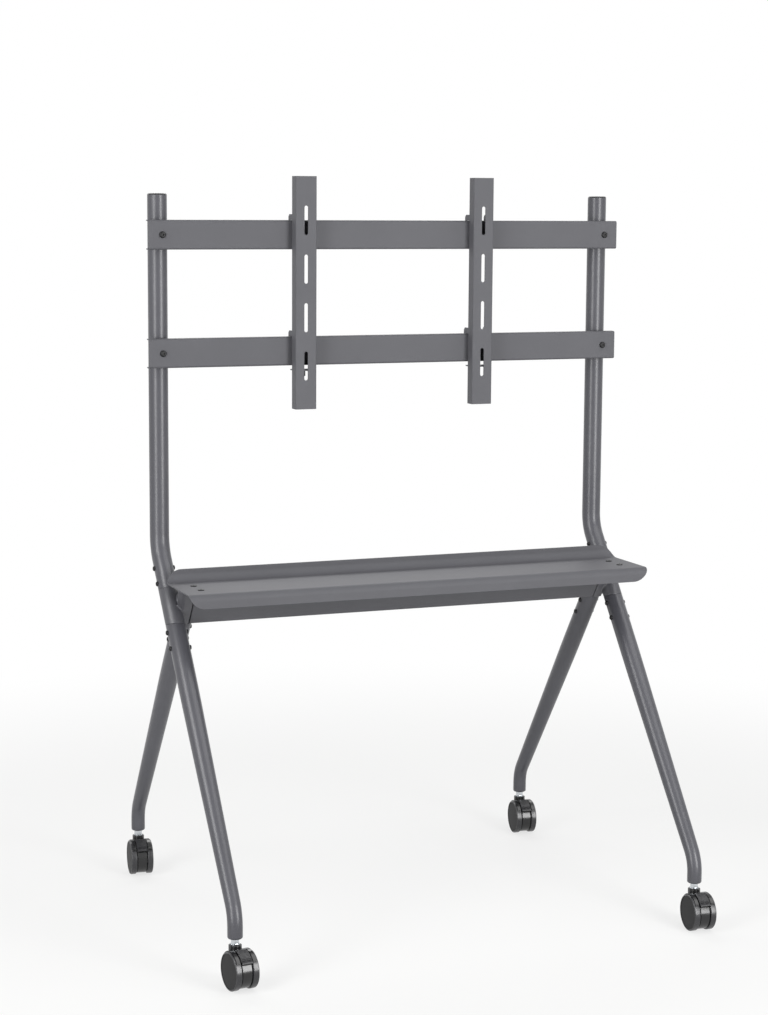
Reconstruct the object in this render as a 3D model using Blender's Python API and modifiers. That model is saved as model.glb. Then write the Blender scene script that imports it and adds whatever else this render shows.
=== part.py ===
# Mobile display stand: two bent uprights on cast knuckles, four tapered legs,
# a folded shelf on a crossbeam, two hanger rails and four twin-wheel casters.
# Metres, +Z up. The origin is on the floor, under the middle of the stand.

import math

import bmesh
import bpy
from mathutils import Matrix, Vector

# General clearances and mesh finish
GAP = 0.0003
WELD = 0.00001
CUTTER_REACH = 1.0
TUBE_SIDES_STEP = 6
ARC_STEPS = 4

# Frame layout, measured from the upright axis
UPRIGHT_X = 0.500
UPRIGHT_Y = 0.127
UPRIGHT_TOP_Z = 1.500
SHELF_TOP_Z = 0.716
BEND_RISE = 0.060
BEND_Z = SHELF_TOP_Z + BEND_RISE
BEND_RADIUS = 0.085
FRONT_ANGLE = math.radians(38.0)
REAR_LEG_INSET = 0.029
REAR_LEG_X = UPRIGHT_X - REAR_LEG_INSET
REAR_ANGLE = math.radians(35.5)
FOOT_CORNER_Z = 0.13987
FRONT_FOOT_REACH = (BEND_Z - FOOT_CORNER_Z) * math.tan(FRONT_ANGLE)
REAR_HEAD_INSET = 0.12195
REAR_FOOT_REACH = (SHELF_TOP_Z - FOOT_CORNER_Z) * math.tan(REAR_ANGLE) - REAR_HEAD_INSET
FOOT_END_Z = 0.0935
FOOT_BEND_RADIUS = 0.075

# Tubes
TUBE_RADIUS = 0.020
TUBE_WALL = 0.002
FOOT_RADIUS = 0.015
FOOT_EDGE = 0.0035

# Knuckle
UPPER_SEAM_DROP = 0.017
LOWER_SEAM_DROP = 0.0825
REAR_SEAM_DROP = 0.0885
UPPER_SEAM_Z = SHELF_TOP_Z - UPPER_SEAM_DROP
LOWER_SEAM_Z = SHELF_TOP_Z - LOWER_SEAM_DROP
REAR_SEAM_Z = SHELF_TOP_Z - REAR_SEAM_DROP
TAPER_START = 0.1285
TAPER_TOP_Z = LOWER_SEAM_Z - TAPER_START
SEAM_TILT = math.radians(19.0)
SPIGOT_LENGTH = 0.064
SPIGOT_CLEARANCE = 0.0006
WEB_HALF_DEPTH = 0.022
WEB_OUTSET = 0.004
WEB_OUTER_X = UPRIGHT_X + WEB_OUTSET
WEB_FLANGE_DEPTH = 0.009
WEB_CORE_INSET = 0.015
WEB_CORE_X = UPRIGHT_X - WEB_CORE_INSET
WEB_TAPER = math.radians(11.0)
PARTING_INSET = 0.0355
PARTING_X = UPRIGHT_X - PARTING_INSET
TONGUE_SETBACK = 0.038
TONGUE_THICKNESS = 0.012
TONGUE_INSET = 0.013
TONGUE_OUTER_X = UPRIGHT_X - TONGUE_INSET

# Through bolts of the tube joints
UPRIGHT_BOLT_MARGIN = 0.0125
FRONT_BOLT_MARGIN = 0.018
REAR_BOLT_MARGIN = 0.0135
BOLT_PITCH = 0.036
BOLT_RADIUS = 0.003
BOLT_CLEARANCE = 0.0005
BOLT_HEAD_RADIUS = 0.00525
BOLT_HEAD_HEIGHT = 0.0033
BOLT_STEPS = 8

# Shelf
SHELF_OVERHANG = 0.0115
SHELF_HALF_LENGTH = UPRIGHT_X + SHELF_OVERHANG
SHELF_REAR = 0.081
SHELF_FRONT = 0.250
TONGUE_FRONT = SHELF_FRONT - TONGUE_SETBACK
SHELF_SHEET = 0.0025
REAR_LIP_HEIGHT = 0.026
FRONT_LIP_HEIGHT = 0.029
LIP_CORNER_RADIUS = 0.034
REAR_FOLD_RADIUS = 0.0175
FRONT_FOLD_RADIUS = 0.0115
FOLD_RADIUS = 0.002
SHELF_BOLT_X = REAR_LEG_X
SHELF_BOLT_INSET = 0.0628
SHELF_BOLT_REAR = SHELF_REAR + SHELF_BOLT_INSET
SHELF_BOLT_PITCH = 0.051
SHELF_BOLT_RADIUS = 0.0035
SHELF_BOLT_HEAD_RADIUS = 0.0066
SHELF_BOLT_HEAD_HEIGHT = 0.0022
SHELF_BOLT_LENGTH = 0.016

# Crossbeam
BEAM_RAISE = 0.001
BEAM_BOTTOM_Z = REAR_SEAM_Z + BEAM_RAISE
BEAM_SHEET = 0.003
BEAM_END_PLATE = 0.006
BEAM_END_PROUD = 0.0006
BEAM_BOLT_DROP = 0.024
BEAM_BOLT_PITCH = 0.032
BEAM_BOLT_HEIGHTS = (SHELF_TOP_Z - BEAM_BOLT_DROP - BEAM_BOLT_PITCH, SHELF_TOP_Z - BEAM_BOLT_DROP)
BEAM_BOLT_RADIUS = 0.004
BEAM_BOLT_HEAD_RADIUS = 0.0065
BEAM_BOLT_HEAD_HEIGHT = 0.005
BEAM_BOLT_DEPTH = 0.018

# Hanger rails and arms
RAIL_DROP = 0.080
RAIL_PITCH = 0.240
RAIL_HEIGHTS = (UPRIGHT_TOP_Z - RAIL_DROP - RAIL_PITCH, UPRIGHT_TOP_Z - RAIL_DROP)
RAIL_OVERHANG = 0.030
RAIL_HALF_LENGTH = UPRIGHT_X + RAIL_OVERHANG
RAIL_HEIGHT = 0.060
RAIL_DEPTH = 0.015
RAIL_SHEET = 0.0025
RAIL_STANDOFF = 0.018
RAIL_BOLT_RADIUS = 0.004
SADDLE_HALF_WIDTH = 0.018
SADDLE_HALF_HEIGHT = 0.024
SADDLE_WRAP = 0.008
ARM_X = 0.200
ARM_RISE = 0.090
ARM_BOTTOM_Z = RAIL_HEIGHTS[0] - RAIL_HEIGHT / 2 - ARM_RISE
ARM_TOP_Z = RAIL_HEIGHTS[1] + RAIL_HEIGHT / 2 + ARM_RISE
ARM_WIDTH = 0.046
ARM_DEPTH = 0.024
ARM_SHEET = 0.0025
HOOK_RISE = 0.012
HOOK_DROP = 0.008
HOOK_TIP = 0.007
SLOT_WIDTH = 0.008
SLOT_LENGTH = 0.060
SLOT_PITCH = 0.100
SLOT_COUNT = 4
LOCK_TAB_GAP = 0.008
LOCK_KNOB_RADIUS = 0.009
LOCK_KNOB_HEIGHT = 0.011
LOCK_SCREW_RADIUS = 0.003

# End caps of the uprights
CAP_THICKNESS = 0.003
CAP_PLUG_DEPTH = 0.014

# Casters, in their own frame: the swivel axis is x = y = 0, they trail towards -Y
CASTER_TURNS = {
    "front_left": 7.0,
    "front_right": -4.0,
    "rear_left": -6.0,
    "rear_right": -7.0,
}
WHEEL_RADIUS = 0.0375
WHEEL_WIDTH = 0.0125
WHEEL_GAP = 0.0016
WHEEL_EDGE = 0.0026
WHEEL_GROOVE_DEPTH = 0.001
WHEEL_STEPS = 20
CASTER_TRAIL = 0.022
HUB_RADIUS = 0.035
HUB_HALF_WIDTH = 0.010
HOOD_CLEARANCE = 0.0004
HOOD_THICKNESS = 0.0015
HOOD_HALF_WIDTH = 0.0208
HOOD_FRONT_ANGLE = 36.0
HOOD_REAR_ANGLE = 152.0
HOOD_STEPS = 10
CORE_FRONT_ANGLE = 81.0
COLLAR_RADIUS = 0.0127
COLLAR_TOP_Z = 0.0815
COLLAR_BOTTOM_Z = 0.068
COLLAR_FLUTES = 8
FLUTE_DEPTH = 0.0009
STEM_RADIUS = 0.005
STEM_BOTTOM_Z = 0.046
STEM_SOCKET_CLEARANCE = 0.0004
STEM_THREAD_DEPTH = 0.024
STEM_HEX_RADIUS = 0.0086
STEM_WASHER = 0.002
AXLE_RADIUS = 0.004
WHEEL_BORE_DEPTH = 0.010
BORE_CLEARANCE = 0.00018
PEDAL_SIDE_CLEARANCE = 0.0005
PEDAL_FRONT_ANGLE = 32.0
PEDAL_REAR_ANGLE = 88.0
PEDAL_THICKNESS = 0.0014
PEDAL_RIB = 0.0006
PEDAL_LIP = 0.0008
PEDAL_RIBS = 5
PEDAL_PIVOT_ANGLE = 85.0
PEDAL_PIVOT_RADIUS = 0.0373
PEDAL_BARREL_RADIUS = 0.0018

PARTS = bpy.data.collections.new("display_stand")


def clear_scene():
    for item in list(bpy.data.objects):
        bpy.data.objects.remove(item, do_unlink=True)
    bpy.context.scene.collection.children.link(PARTS)


def make_material(name, colour, metallic, roughness):
    material = bpy.data.materials.new(name)
    material.use_nodes = True
    shader = material.node_tree.nodes["Principled BSDF"]
    shader.inputs["Base Color"].default_value = (*colour, 1.0)
    shader.inputs["Metallic"].default_value = metallic
    shader.inputs["Roughness"].default_value = roughness
    material.diffuse_color = (*colour, 1.0)
    return material


def make_materials():
    return {
        "painted_tube": make_material("painted_tube", (0.115, 0.115, 0.130), 0.6, 0.38),
        "painted_sheet": make_material("painted_sheet", (0.135, 0.135, 0.150), 0.6, 0.42),
        "painted_casting": make_material("painted_casting", (0.110, 0.110, 0.120), 0.6, 0.45),
        "black_screw": make_material("black_screw", (0.012, 0.012, 0.013), 0.7, 0.35),
        "zinc_steel": make_material("zinc_steel", (0.560, 0.570, 0.590), 1.0, 0.28),
        "black_plastic": make_material("black_plastic", (0.018, 0.018, 0.019), 0.0, 0.28),
        "wheel_plastic": make_material("wheel_plastic", (0.045, 0.045, 0.046), 0.0, 0.40),
        "pedal_plastic": make_material("pedal_plastic", (0.070, 0.070, 0.075), 0.0, 0.45),
        "cap_plastic": make_material("cap_plastic", (0.020, 0.020, 0.021), 0.0, 0.50),
    }


# Shape helpers

def link(item):
    PARTS.objects.link(item)
    return item


def baked(item, matrix=None):
    """The evaluated shape as a plain welded mesh, turned by matrix, at the origin."""
    bpy.context.view_layer.update()
    graph = bpy.context.evaluated_depsgraph_get()
    mesh = bpy.data.meshes.new_from_object(item.evaluated_get(graph))
    mesh.transform(item.matrix_world)
    if matrix is not None:
        mesh.transform(matrix)
    work = bmesh.new()
    work.from_mesh(mesh)
    bmesh.ops.remove_doubles(work, verts=work.verts, dist=WELD)
    bmesh.ops.dissolve_degenerate(work, edges=work.edges, dist=WELD)
    bmesh.ops.recalc_face_normals(work, faces=work.faces)
    work.to_mesh(mesh)
    work.free()
    name = item.name
    bpy.data.objects.remove(item, do_unlink=True)
    return link(bpy.data.objects.new(name, mesh))


def combine(target, tools, operation):
    """Join or cut closed meshes with exact Booleans, and drop the tools."""
    for tool in tools:
        modifier = target.modifiers.new("combine", "BOOLEAN")
        modifier.operation = operation
        modifier.solver = "EXACT"
        modifier.object = tool
    result = baked(target)
    for tool in tools:
        bpy.data.objects.remove(tool, do_unlink=True)
    return result


def plate(name, outline, thickness, matrix):
    """A flat outline in the local XY plane, as thick as stated along local Z."""
    curve = bpy.data.curves.new(name, "CURVE")
    curve.dimensions = "2D"
    curve.fill_mode = "BOTH"
    curve.extrude = thickness / 2
    spline = curve.splines.new("POLY")
    spline.points.add(len(outline) - 1)
    for point, (u, v) in zip(spline.points, outline):
        point.co = (u, v, 0.0, 1.0)
    spline.use_cyclic_u = True
    return baked(link(bpy.data.objects.new(name, curve)), matrix)


def side_plate(name, outline, x_from, x_to):
    """A plate whose outline is given in Y and Z, between two X planes."""
    middle = (x_from + x_to) / 2
    matrix = Matrix(((0, 0, 1, middle), (1, 0, 0, 0), (0, 1, 0, 0), (0, 0, 0, 1)))
    return plate(name, outline, abs(x_to - x_from), matrix)


def front_plate(name, outline, y_from, y_to):
    """A plate whose outline is given in X and Z, between two Y planes."""
    middle = (y_from + y_to) / 2
    matrix = Matrix.Translation((0, middle, 0)) @ Matrix.Rotation(math.pi / 2, 4, "X")
    return plate(name, outline, abs(y_to - y_from), matrix)


def floor_plate(name, outline, z_from, z_to):
    """A plate whose outline is given in X and Y, between two heights."""
    matrix = Matrix.Translation((0, 0, (z_from + z_to) / 2))
    return plate(name, outline, abs(z_to - z_from), matrix)


def tube(name, points, radii, sides_step=TUBE_SIDES_STEP):
    """A round bar along a polyline, with its own radius at each point."""
    curve = bpy.data.curves.new(name, "CURVE")
    curve.dimensions = "3D"
    curve.bevel_depth = 1.0
    curve.bevel_resolution = sides_step
    curve.use_fill_caps = True
    spline = curve.splines.new("POLY")
    spline.points.add(len(points) - 1)
    for place, point, radius in zip(spline.points, points, radii):
        place.co = (*point, 1.0)
        place.radius = radius
    return baked(link(bpy.data.objects.new(name, curve)))


def rod(name, start, end, radius, sides_step=4):
    return tube(name, (start, end), (radius, radius), sides_step)


def turned(name, profile, steps, matrix=None):
    """A profile of (radius, height) points, top to bottom, turned about Z."""
    mesh = bpy.data.meshes.new(name)
    vertices = [(radius, 0.0, height) for radius, height in profile]
    mesh.from_pydata(vertices, [(i, i + 1) for i in range(len(profile) - 1)], [])
    item = link(bpy.data.objects.new(name, mesh))
    screw = item.modifiers.new("turn", "SCREW")
    screw.angle = math.tau
    screw.steps = steps
    screw.render_steps = steps
    screw.use_merge_vertices = True
    screw.merge_threshold = WELD
    return baked(item, matrix)


def box(name, low, high):
    bpy.ops.mesh.primitive_cube_add(size=1.0)
    item = bpy.context.active_object
    item.name = name
    for owner in list(item.users_collection):
        owner.objects.unlink(item)
    link(item)
    middle = (Vector(low) + Vector(high)) / 2
    size = Vector(high) - Vector(low)
    item.matrix_world = Matrix.Translation(middle) @ Matrix.Diagonal((*size, 1.0))
    return baked(item)


def half_space(name, point, normal):
    """A large block whose one face passes through point and that lies along normal."""
    block = box(name, (-CUTTER_REACH, -CUTTER_REACH, 0.0), (CUTTER_REACH, CUTTER_REACH, CUTTER_REACH))
    turn = Vector((0, 0, 1)).rotation_difference(Vector(normal)).to_matrix().to_4x4()
    block.data.transform(Matrix.Translation(point) @ turn)
    return block


def arc(centre, radius, start, end, steps):
    """Points in a plane from one angle to another, in degrees."""
    points = []
    for i in range(steps + 1):
        angle = math.radians(start + (end - start) * i / steps)
        points.append((centre[0] + radius * math.cos(angle), centre[1] + radius * math.sin(angle)))
    return points


def folded(points, thickness, inner_radii=(FOLD_RADIUS, FOLD_RADIUS), steps=3):
    """The closed section of a sheet folded along a polyline of its middle plane."""
    path = [Vector(point) for point in points]
    middle = [(path[0], (path[1] - path[0]).normalized())]
    for before, corner, after, inner_radius in zip(path, path[1:], path[2:], inner_radii):
        into = (corner - before).normalized()
        out = (after - corner).normalized()
        turn = into.angle_signed(out)
        radius = inner_radius + thickness / 2
        reach = radius * math.tan(abs(turn) / 2)
        side = Vector((into.y, -into.x)) * (1 if turn > 0 else -1)
        centre = corner - into * reach + side * radius
        for i in range(steps + 1):
            spin = Matrix.Rotation(-turn * i / steps, 2)
            middle.append((centre - spin @ side * radius, spin @ into))
    middle.append((path[-1], (path[-1] - path[-2]).normalized()))
    half = thickness / 2
    left = [(p.x - d.y * half, p.y + d.x * half) for p, d in middle]
    right = [(p.x + d.y * half, p.y - d.x * half) for p, d in middle]
    return left + right[::-1]


def finish(item, name, material):
    item.name = name
    item.data.name = name
    item.data.materials.clear()
    item.data.materials.append(material)
    item.data.shade_smooth()
    item.data.set_sharp_from_angle(angle=math.radians(32.0))
    return item


def place_copy(mesh, name, matrix, parent=None):
    item = link(bpy.data.objects.new(name, mesh))
    item.parent = parent
    item.matrix_local = matrix
    return item


# Lines of the frame

def front_y(z):
    """Y of the line that the lower upright and the front leg follow."""
    return UPRIGHT_Y - math.tan(FRONT_ANGLE) * (BEND_Z - z)


def rear_corner_z():
    """Height at which both feet turn upright."""
    return BEND_Z - FRONT_FOOT_REACH / math.tan(FRONT_ANGLE)


def rear_y(z):
    """Y of the rear leg's line."""
    return UPRIGHT_Y + REAR_FOOT_REACH - math.tan(REAR_ANGLE) * (z - rear_corner_z())


def web_front_y(z):
    return rear_y(z) - WEB_HALF_DEPTH / math.cos(REAR_ANGLE)


def web_rear_y(z):
    return rear_y(z) + WEB_HALF_DEPTH / math.cos(REAR_ANGLE)


def front_point(side, z, along=0.0):
    """A point on the front line, moved by a distance along it, up being positive."""
    height = z + along * math.cos(FRONT_ANGLE)
    return Vector((side * UPRIGHT_X, front_y(height), height))


def rear_point(side, z, along=0.0):
    height = z + along * math.cos(REAR_ANGLE)
    return Vector((side * REAR_LEG_X, rear_y(height), height))


def bend(before, corner, after, radius, steps):
    """Points of a round bend between two straight runs."""
    into = (corner - before).normalized()
    out = (after - corner).normalized()
    turn = into.angle(out)
    reach = radius * math.tan(turn / 2)
    start = corner - into * reach
    axis = into.cross(out).normalized()
    centre = start + axis.cross(into) * radius
    return [centre + Matrix.Rotation(turn * i / steps, 3, axis) @ (start - centre)
            for i in range(steps + 1)]


def seam_normal(angle):
    """Upward normal of a tube seam that leans by angle towards the leg's front."""
    return Vector((0.0, math.sin(angle), math.cos(angle)))


def bolt_places():
    """Name and centre of each through bolt in the six tube joints."""
    places = []
    for side, hand in ((-1, "left"), (1, "right")):
        for number in range(2):
            step = BOLT_PITCH * number
            places.append((f"bolt_upright_{hand}_{number + 1}",
                           front_point(side, UPPER_SEAM_Z, UPRIGHT_BOLT_MARGIN + step)))
            places.append((f"bolt_front_{hand}_{number + 1}",
                           front_point(side, LOWER_SEAM_Z, -FRONT_BOLT_MARGIN - step)))
            places.append((f"bolt_rear_{hand}_{number + 1}",
                           rear_point(side, REAR_SEAM_Z, -REAR_BOLT_MARGIN - step)))
    return places


def bolt_holes(side, kind):
    """Cross drillings for the bolts of one kind of joint, or of all three."""
    holes = []
    for name, centre in bolt_places():
        if centre.x * side < 0 or not name.startswith(f"bolt_{kind}"):
            continue
        reach = Vector((TUBE_RADIUS * 1.5, 0, 0))
        holes.append(rod("hole", centre - reach, centre + reach, BOLT_RADIUS + BOLT_CLEARANCE, 2))
    return holes


def rail_holes(side):
    """Drillings for the bolts that hold the rails to an upright."""
    holes = []
    for z in RAIL_HEIGHTS:
        centre = Vector((side * UPRIGHT_X, UPRIGHT_Y, z))
        reach = Vector((0, TUBE_RADIUS * 3, 0))
        holes.append(rod("hole", centre - reach, centre + reach, RAIL_BOLT_RADIUS + BOLT_CLEARANCE, 2))
    return holes


# Frame pieces

def make_upright(side):
    top = Vector((side * UPRIGHT_X, UPRIGHT_Y, UPRIGHT_TOP_Z))
    corner = Vector((side * UPRIGHT_X, UPRIGHT_Y, BEND_Z))
    low = front_point(side, UPPER_SEAM_Z, -TUBE_RADIUS)
    turn = bend(top, corner, low, BEND_RADIUS, ARC_STEPS)
    outer = tube("upright", [top, *turn, low], [TUBE_RADIUS] * (len(turn) + 2))
    inner_ends = (top + Vector((0, 0, TUBE_RADIUS)), front_point(side, UPPER_SEAM_Z, -2 * TUBE_RADIUS))
    bore = tube("bore", [inner_ends[0], *turn, inner_ends[1]],
                [TUBE_RADIUS - TUBE_WALL] * (len(turn) + 2))
    seam = half_space("seam", front_point(side, UPPER_SEAM_Z) + Vector((0, 0, GAP / 2)),
                      -seam_normal(SEAM_TILT))
    return combine(outer, [bore, seam, *bolt_holes(side, "upright"), *rail_holes(side)], "DIFFERENCE")


def leg_radius(z):
    corner = rear_corner_z()
    share = min(1.0, max(0.0, (TAPER_TOP_Z - z) / (TAPER_TOP_Z - corner)))
    return TUBE_RADIUS + (FOOT_RADIUS - TUBE_RADIUS) * share


def make_leg(side, front):
    corner_z = rear_corner_z()
    point = front_point if front else rear_point
    seam_z = LOWER_SEAM_Z if front else REAR_SEAM_Z
    tilt = SEAM_TILT if front else 0.0
    corner = point(side, corner_z)
    head = point(side, seam_z, TUBE_RADIUS)
    foot = Vector((corner.x, corner.y, FOOT_END_Z))
    turn = bend(head, corner, foot, FOOT_BEND_RADIUS, ARC_STEPS)
    edge = foot + Vector((0, 0, FOOT_EDGE))
    path = [head, point(side, TAPER_TOP_Z), *turn, edge, foot]
    radii = [leg_radius(place.z) for place in path]
    radii[-1] = FOOT_RADIUS - FOOT_EDGE
    leg = tube("leg", path, radii)
    bore_path = [point(side, seam_z, 2 * TUBE_RADIUS), point(side, TAPER_TOP_Z), turn[0]]
    bore = tube("bore", bore_path, [leg_radius(place.z) - TUBE_WALL for place in bore_path])
    seam = half_space("seam", point(side, seam_z) - Vector((0, 0, GAP / 2)), seam_normal(tilt))
    socket = rod("socket", foot - Vector((0, 0, 0.01)), foot + Vector((0, 0, STEM_THREAD_DEPTH + GAP)),
                 STEM_RADIUS + GAP)
    kind = "front" if front else "rear"
    return combine(leg, [bore, seam, socket, *bolt_holes(side, kind)], "DIFFERENCE")


def web_plates(side, bottom_z, top_z):
    """The web between the sleeves: a wide front flange on a narrower core."""
    def outline(depth):
        back = depth / math.cos(REAR_ANGLE)
        return ((web_front_y(bottom_z), bottom_z), (web_front_y(bottom_z) + back, bottom_z),
                (web_front_y(top_z) + back, top_z), (web_front_y(top_z), top_z))
    inner_x = side * (PARTING_X + GAP / 2)
    flange = side_plate("flange", outline(WEB_FLANGE_DEPTH), inner_x, side * WEB_OUTER_X)
    slope = Vector((side * math.cos(WEB_TAPER), 0.0, -math.sin(WEB_TAPER)))
    taper = half_space("taper", Vector((side * WEB_OUTER_X, web_front_y(top_z), top_z)), slope)
    flange = combine(flange, [taper], "DIFFERENCE")
    core = side_plate("core", outline(2 * WEB_HALF_DEPTH), inner_x, side * WEB_CORE_X)
    return [flange, core]


def make_knuckle(side):
    spigot_radius = TUBE_RADIUS - TUBE_WALL - SPIGOT_CLEARANCE
    sleeve = tube("sleeve", (front_point(side, UPPER_SEAM_Z, TUBE_RADIUS),
                             front_point(side, LOWER_SEAM_Z, -TUBE_RADIUS)), (TUBE_RADIUS, TUBE_RADIUS))
    upper = half_space("upper", front_point(side, UPPER_SEAM_Z) - Vector((0, 0, GAP / 2)),
                       seam_normal(SEAM_TILT))
    lower = half_space("lower", front_point(side, LOWER_SEAM_Z) + Vector((0, 0, GAP / 2)),
                       -seam_normal(SEAM_TILT))
    sleeve = combine(sleeve, [upper, lower], "DIFFERENCE")
    spigot = tube("spigot", (front_point(side, UPPER_SEAM_Z, SPIGOT_LENGTH),
                             front_point(side, LOWER_SEAM_Z, -SPIGOT_LENGTH)),
                  (spigot_radius, spigot_radius))
    top_z = SHELF_TOP_Z - SHELF_SHEET - GAP
    bottom_z = REAR_SEAM_Z + GAP / 2
    tongue_rear = web_rear_y(top_z) - TUBE_RADIUS
    tongue_front = UPRIGHT_Y - TONGUE_FRONT
    nose = TONGUE_THICKNESS / 2
    tongue_outline = ((tongue_rear, top_z), (tongue_front, top_z), (tongue_front, top_z - nose),
                      (tongue_front + nose, top_z - TONGUE_THICKNESS),
                      (tongue_rear, top_z - TONGUE_THICKNESS))
    tongue = side_plate("tongue", tongue_outline, side * (PARTING_X + GAP / 2), side * TONGUE_OUTER_X)
    rear_sleeve = tube("rear_sleeve", (rear_point(side, UPPER_SEAM_Z),
                                       rear_point(side, REAR_SEAM_Z, -TUBE_RADIUS)),
                       (TUBE_RADIUS, TUBE_RADIUS))
    below = half_space("below", Vector((0, 0, bottom_z)), Vector((0, 0, -1)))
    rear_sleeve = combine(rear_sleeve, [below], "DIFFERENCE")
    rear_spigot = tube("rear_spigot", (rear_point(side, REAR_SEAM_Z, TUBE_RADIUS),
                                       rear_point(side, REAR_SEAM_Z, -SPIGOT_LENGTH)),
                       (spigot_radius, spigot_radius))
    pieces = [spigot, *web_plates(side, bottom_z, top_z), tongue, rear_sleeve, rear_spigot]
    body = combine(sleeve, pieces, "UNION")
    inner = sorted((0.0, side * (PARTING_X + GAP / 2)))
    parting = box("parting", (inner[0], -CUTTER_REACH, REAR_SEAM_Z), (inner[1], CUTTER_REACH, CUTTER_REACH))
    cuts = [parting, *bolt_holes(side, ""), *shelf_bolt_holes(side), *beam_bolt_holes(side)]
    return combine(body, cuts, "DIFFERENCE")


def make_bolt_mesh():
    """Button head, shank and barrel nut, lying along X across a tube."""
    seat = TUBE_RADIUS + GAP
    half = [(0.0, seat + BOLT_HEAD_HEIGHT), (BOLT_HEAD_RADIUS * 0.7, seat + BOLT_HEAD_HEIGHT),
            (BOLT_HEAD_RADIUS, seat), (BOLT_RADIUS, seat)]
    profile = half + [(radius, -height) for radius, height in half[::-1]]
    return turned("bolt", profile, BOLT_STEPS, Matrix.Rotation(math.pi / 2, 4, "Y"))


# Shelf and crossbeam

def shelf_bolt_points(side):
    rear = UPRIGHT_Y - SHELF_BOLT_REAR
    return [Vector((side * SHELF_BOLT_X, rear - SHELF_BOLT_PITCH * i, SHELF_TOP_Z)) for i in range(2)]


def shelf_bolt_holes(side):
    reach = Vector((0, 0, SHELF_BOLT_LENGTH + SHELF_SHEET + 2 * GAP))
    return [rod("hole", point - reach, point + reach, SHELF_BOLT_RADIUS + BOLT_CLEARANCE, 2)
            for point in shelf_bolt_points(side)]


def make_shelf_bolt_mesh():
    head = GAP + SHELF_BOLT_HEAD_HEIGHT
    profile = ((0.0, head), (SHELF_BOLT_HEAD_RADIUS * 0.75, head), (SHELF_BOLT_HEAD_RADIUS, GAP),
               (SHELF_BOLT_RADIUS, GAP), (SHELF_BOLT_RADIUS, -SHELF_BOLT_LENGTH), (0.0, -SHELF_BOLT_LENGTH))
    return turned("shelf_bolt", profile, BOLT_STEPS)


def corner_cutter(side, lip_y, height, direction, fold_radius):
    """What lies outside a lip's corner, which is a quarter circle on the flat blank."""
    radius = fold_radius + SHELF_SHEET / 2
    turned = radius * math.pi / 2
    length = turned + height - radius
    middle_z = SHELF_TOP_Z - SHELF_SHEET / 2
    x = side * SHELF_HALF_LENGTH
    outline = []
    for i in range(9):
        angle = math.pi / 2 * i / 8
        flat = length - LIP_CORNER_RADIUS * (1 - math.sin(angle))
        rise = radius * (1 - math.cos(min(flat, turned) / radius)) + max(0.0, flat - turned)
        outline.append((x - side * LIP_CORNER_RADIUS * (1 - math.cos(angle)), middle_z + direction * rise))
    extra = 0.004
    far = (x + side * extra, middle_z + direction * (height + extra))
    outline = [(far[0], outline[0][1]), *outline, (outline[-1][0], far[1]), far]
    return front_plate("corner", outline, lip_y + direction * extra, lip_y - direction * radius)


def make_shelf():
    middle_z = SHELF_TOP_Z - SHELF_SHEET / 2
    rear = UPRIGHT_Y - SHELF_REAR - SHELF_SHEET / 2
    front = UPRIGHT_Y - SHELF_FRONT + SHELF_SHEET / 2
    top = SHELF_TOP_Z + REAR_LIP_HEIGHT
    bottom = SHELF_TOP_Z - FRONT_LIP_HEIGHT
    corners = ((rear, top), (rear, middle_z), (front, middle_z), (front, bottom))
    section = folded(corners, SHELF_SHEET, (REAR_FOLD_RADIUS, FRONT_FOLD_RADIUS), 7)
    shelf = side_plate("shelf", section, -SHELF_HALF_LENGTH, SHELF_HALF_LENGTH)
    cuts = []
    for side in (-1, 1):
        cuts.append(corner_cutter(side, rear, top - middle_z, 1, REAR_FOLD_RADIUS))
        cuts.append(corner_cutter(side, front, middle_z - bottom, -1, FRONT_FOLD_RADIUS))
        cuts += shelf_bolt_holes(side)
    return combine(shelf, cuts, "DIFFERENCE")


def beam_bolt_points(side):
    return [Vector((side * (PARTING_X - GAP / 2), rear_y(z), z)) for z in BEAM_BOLT_HEIGHTS]


def beam_bolt_holes(side):
    reach = Vector((side * (BEAM_BOLT_DEPTH + GAP), 0, 0))
    return [rod("hole", point - reach * 0.2, point + reach, BEAM_BOLT_RADIUS + BOLT_CLEARANCE, 2)
            for point in beam_bolt_points(side)]


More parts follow.
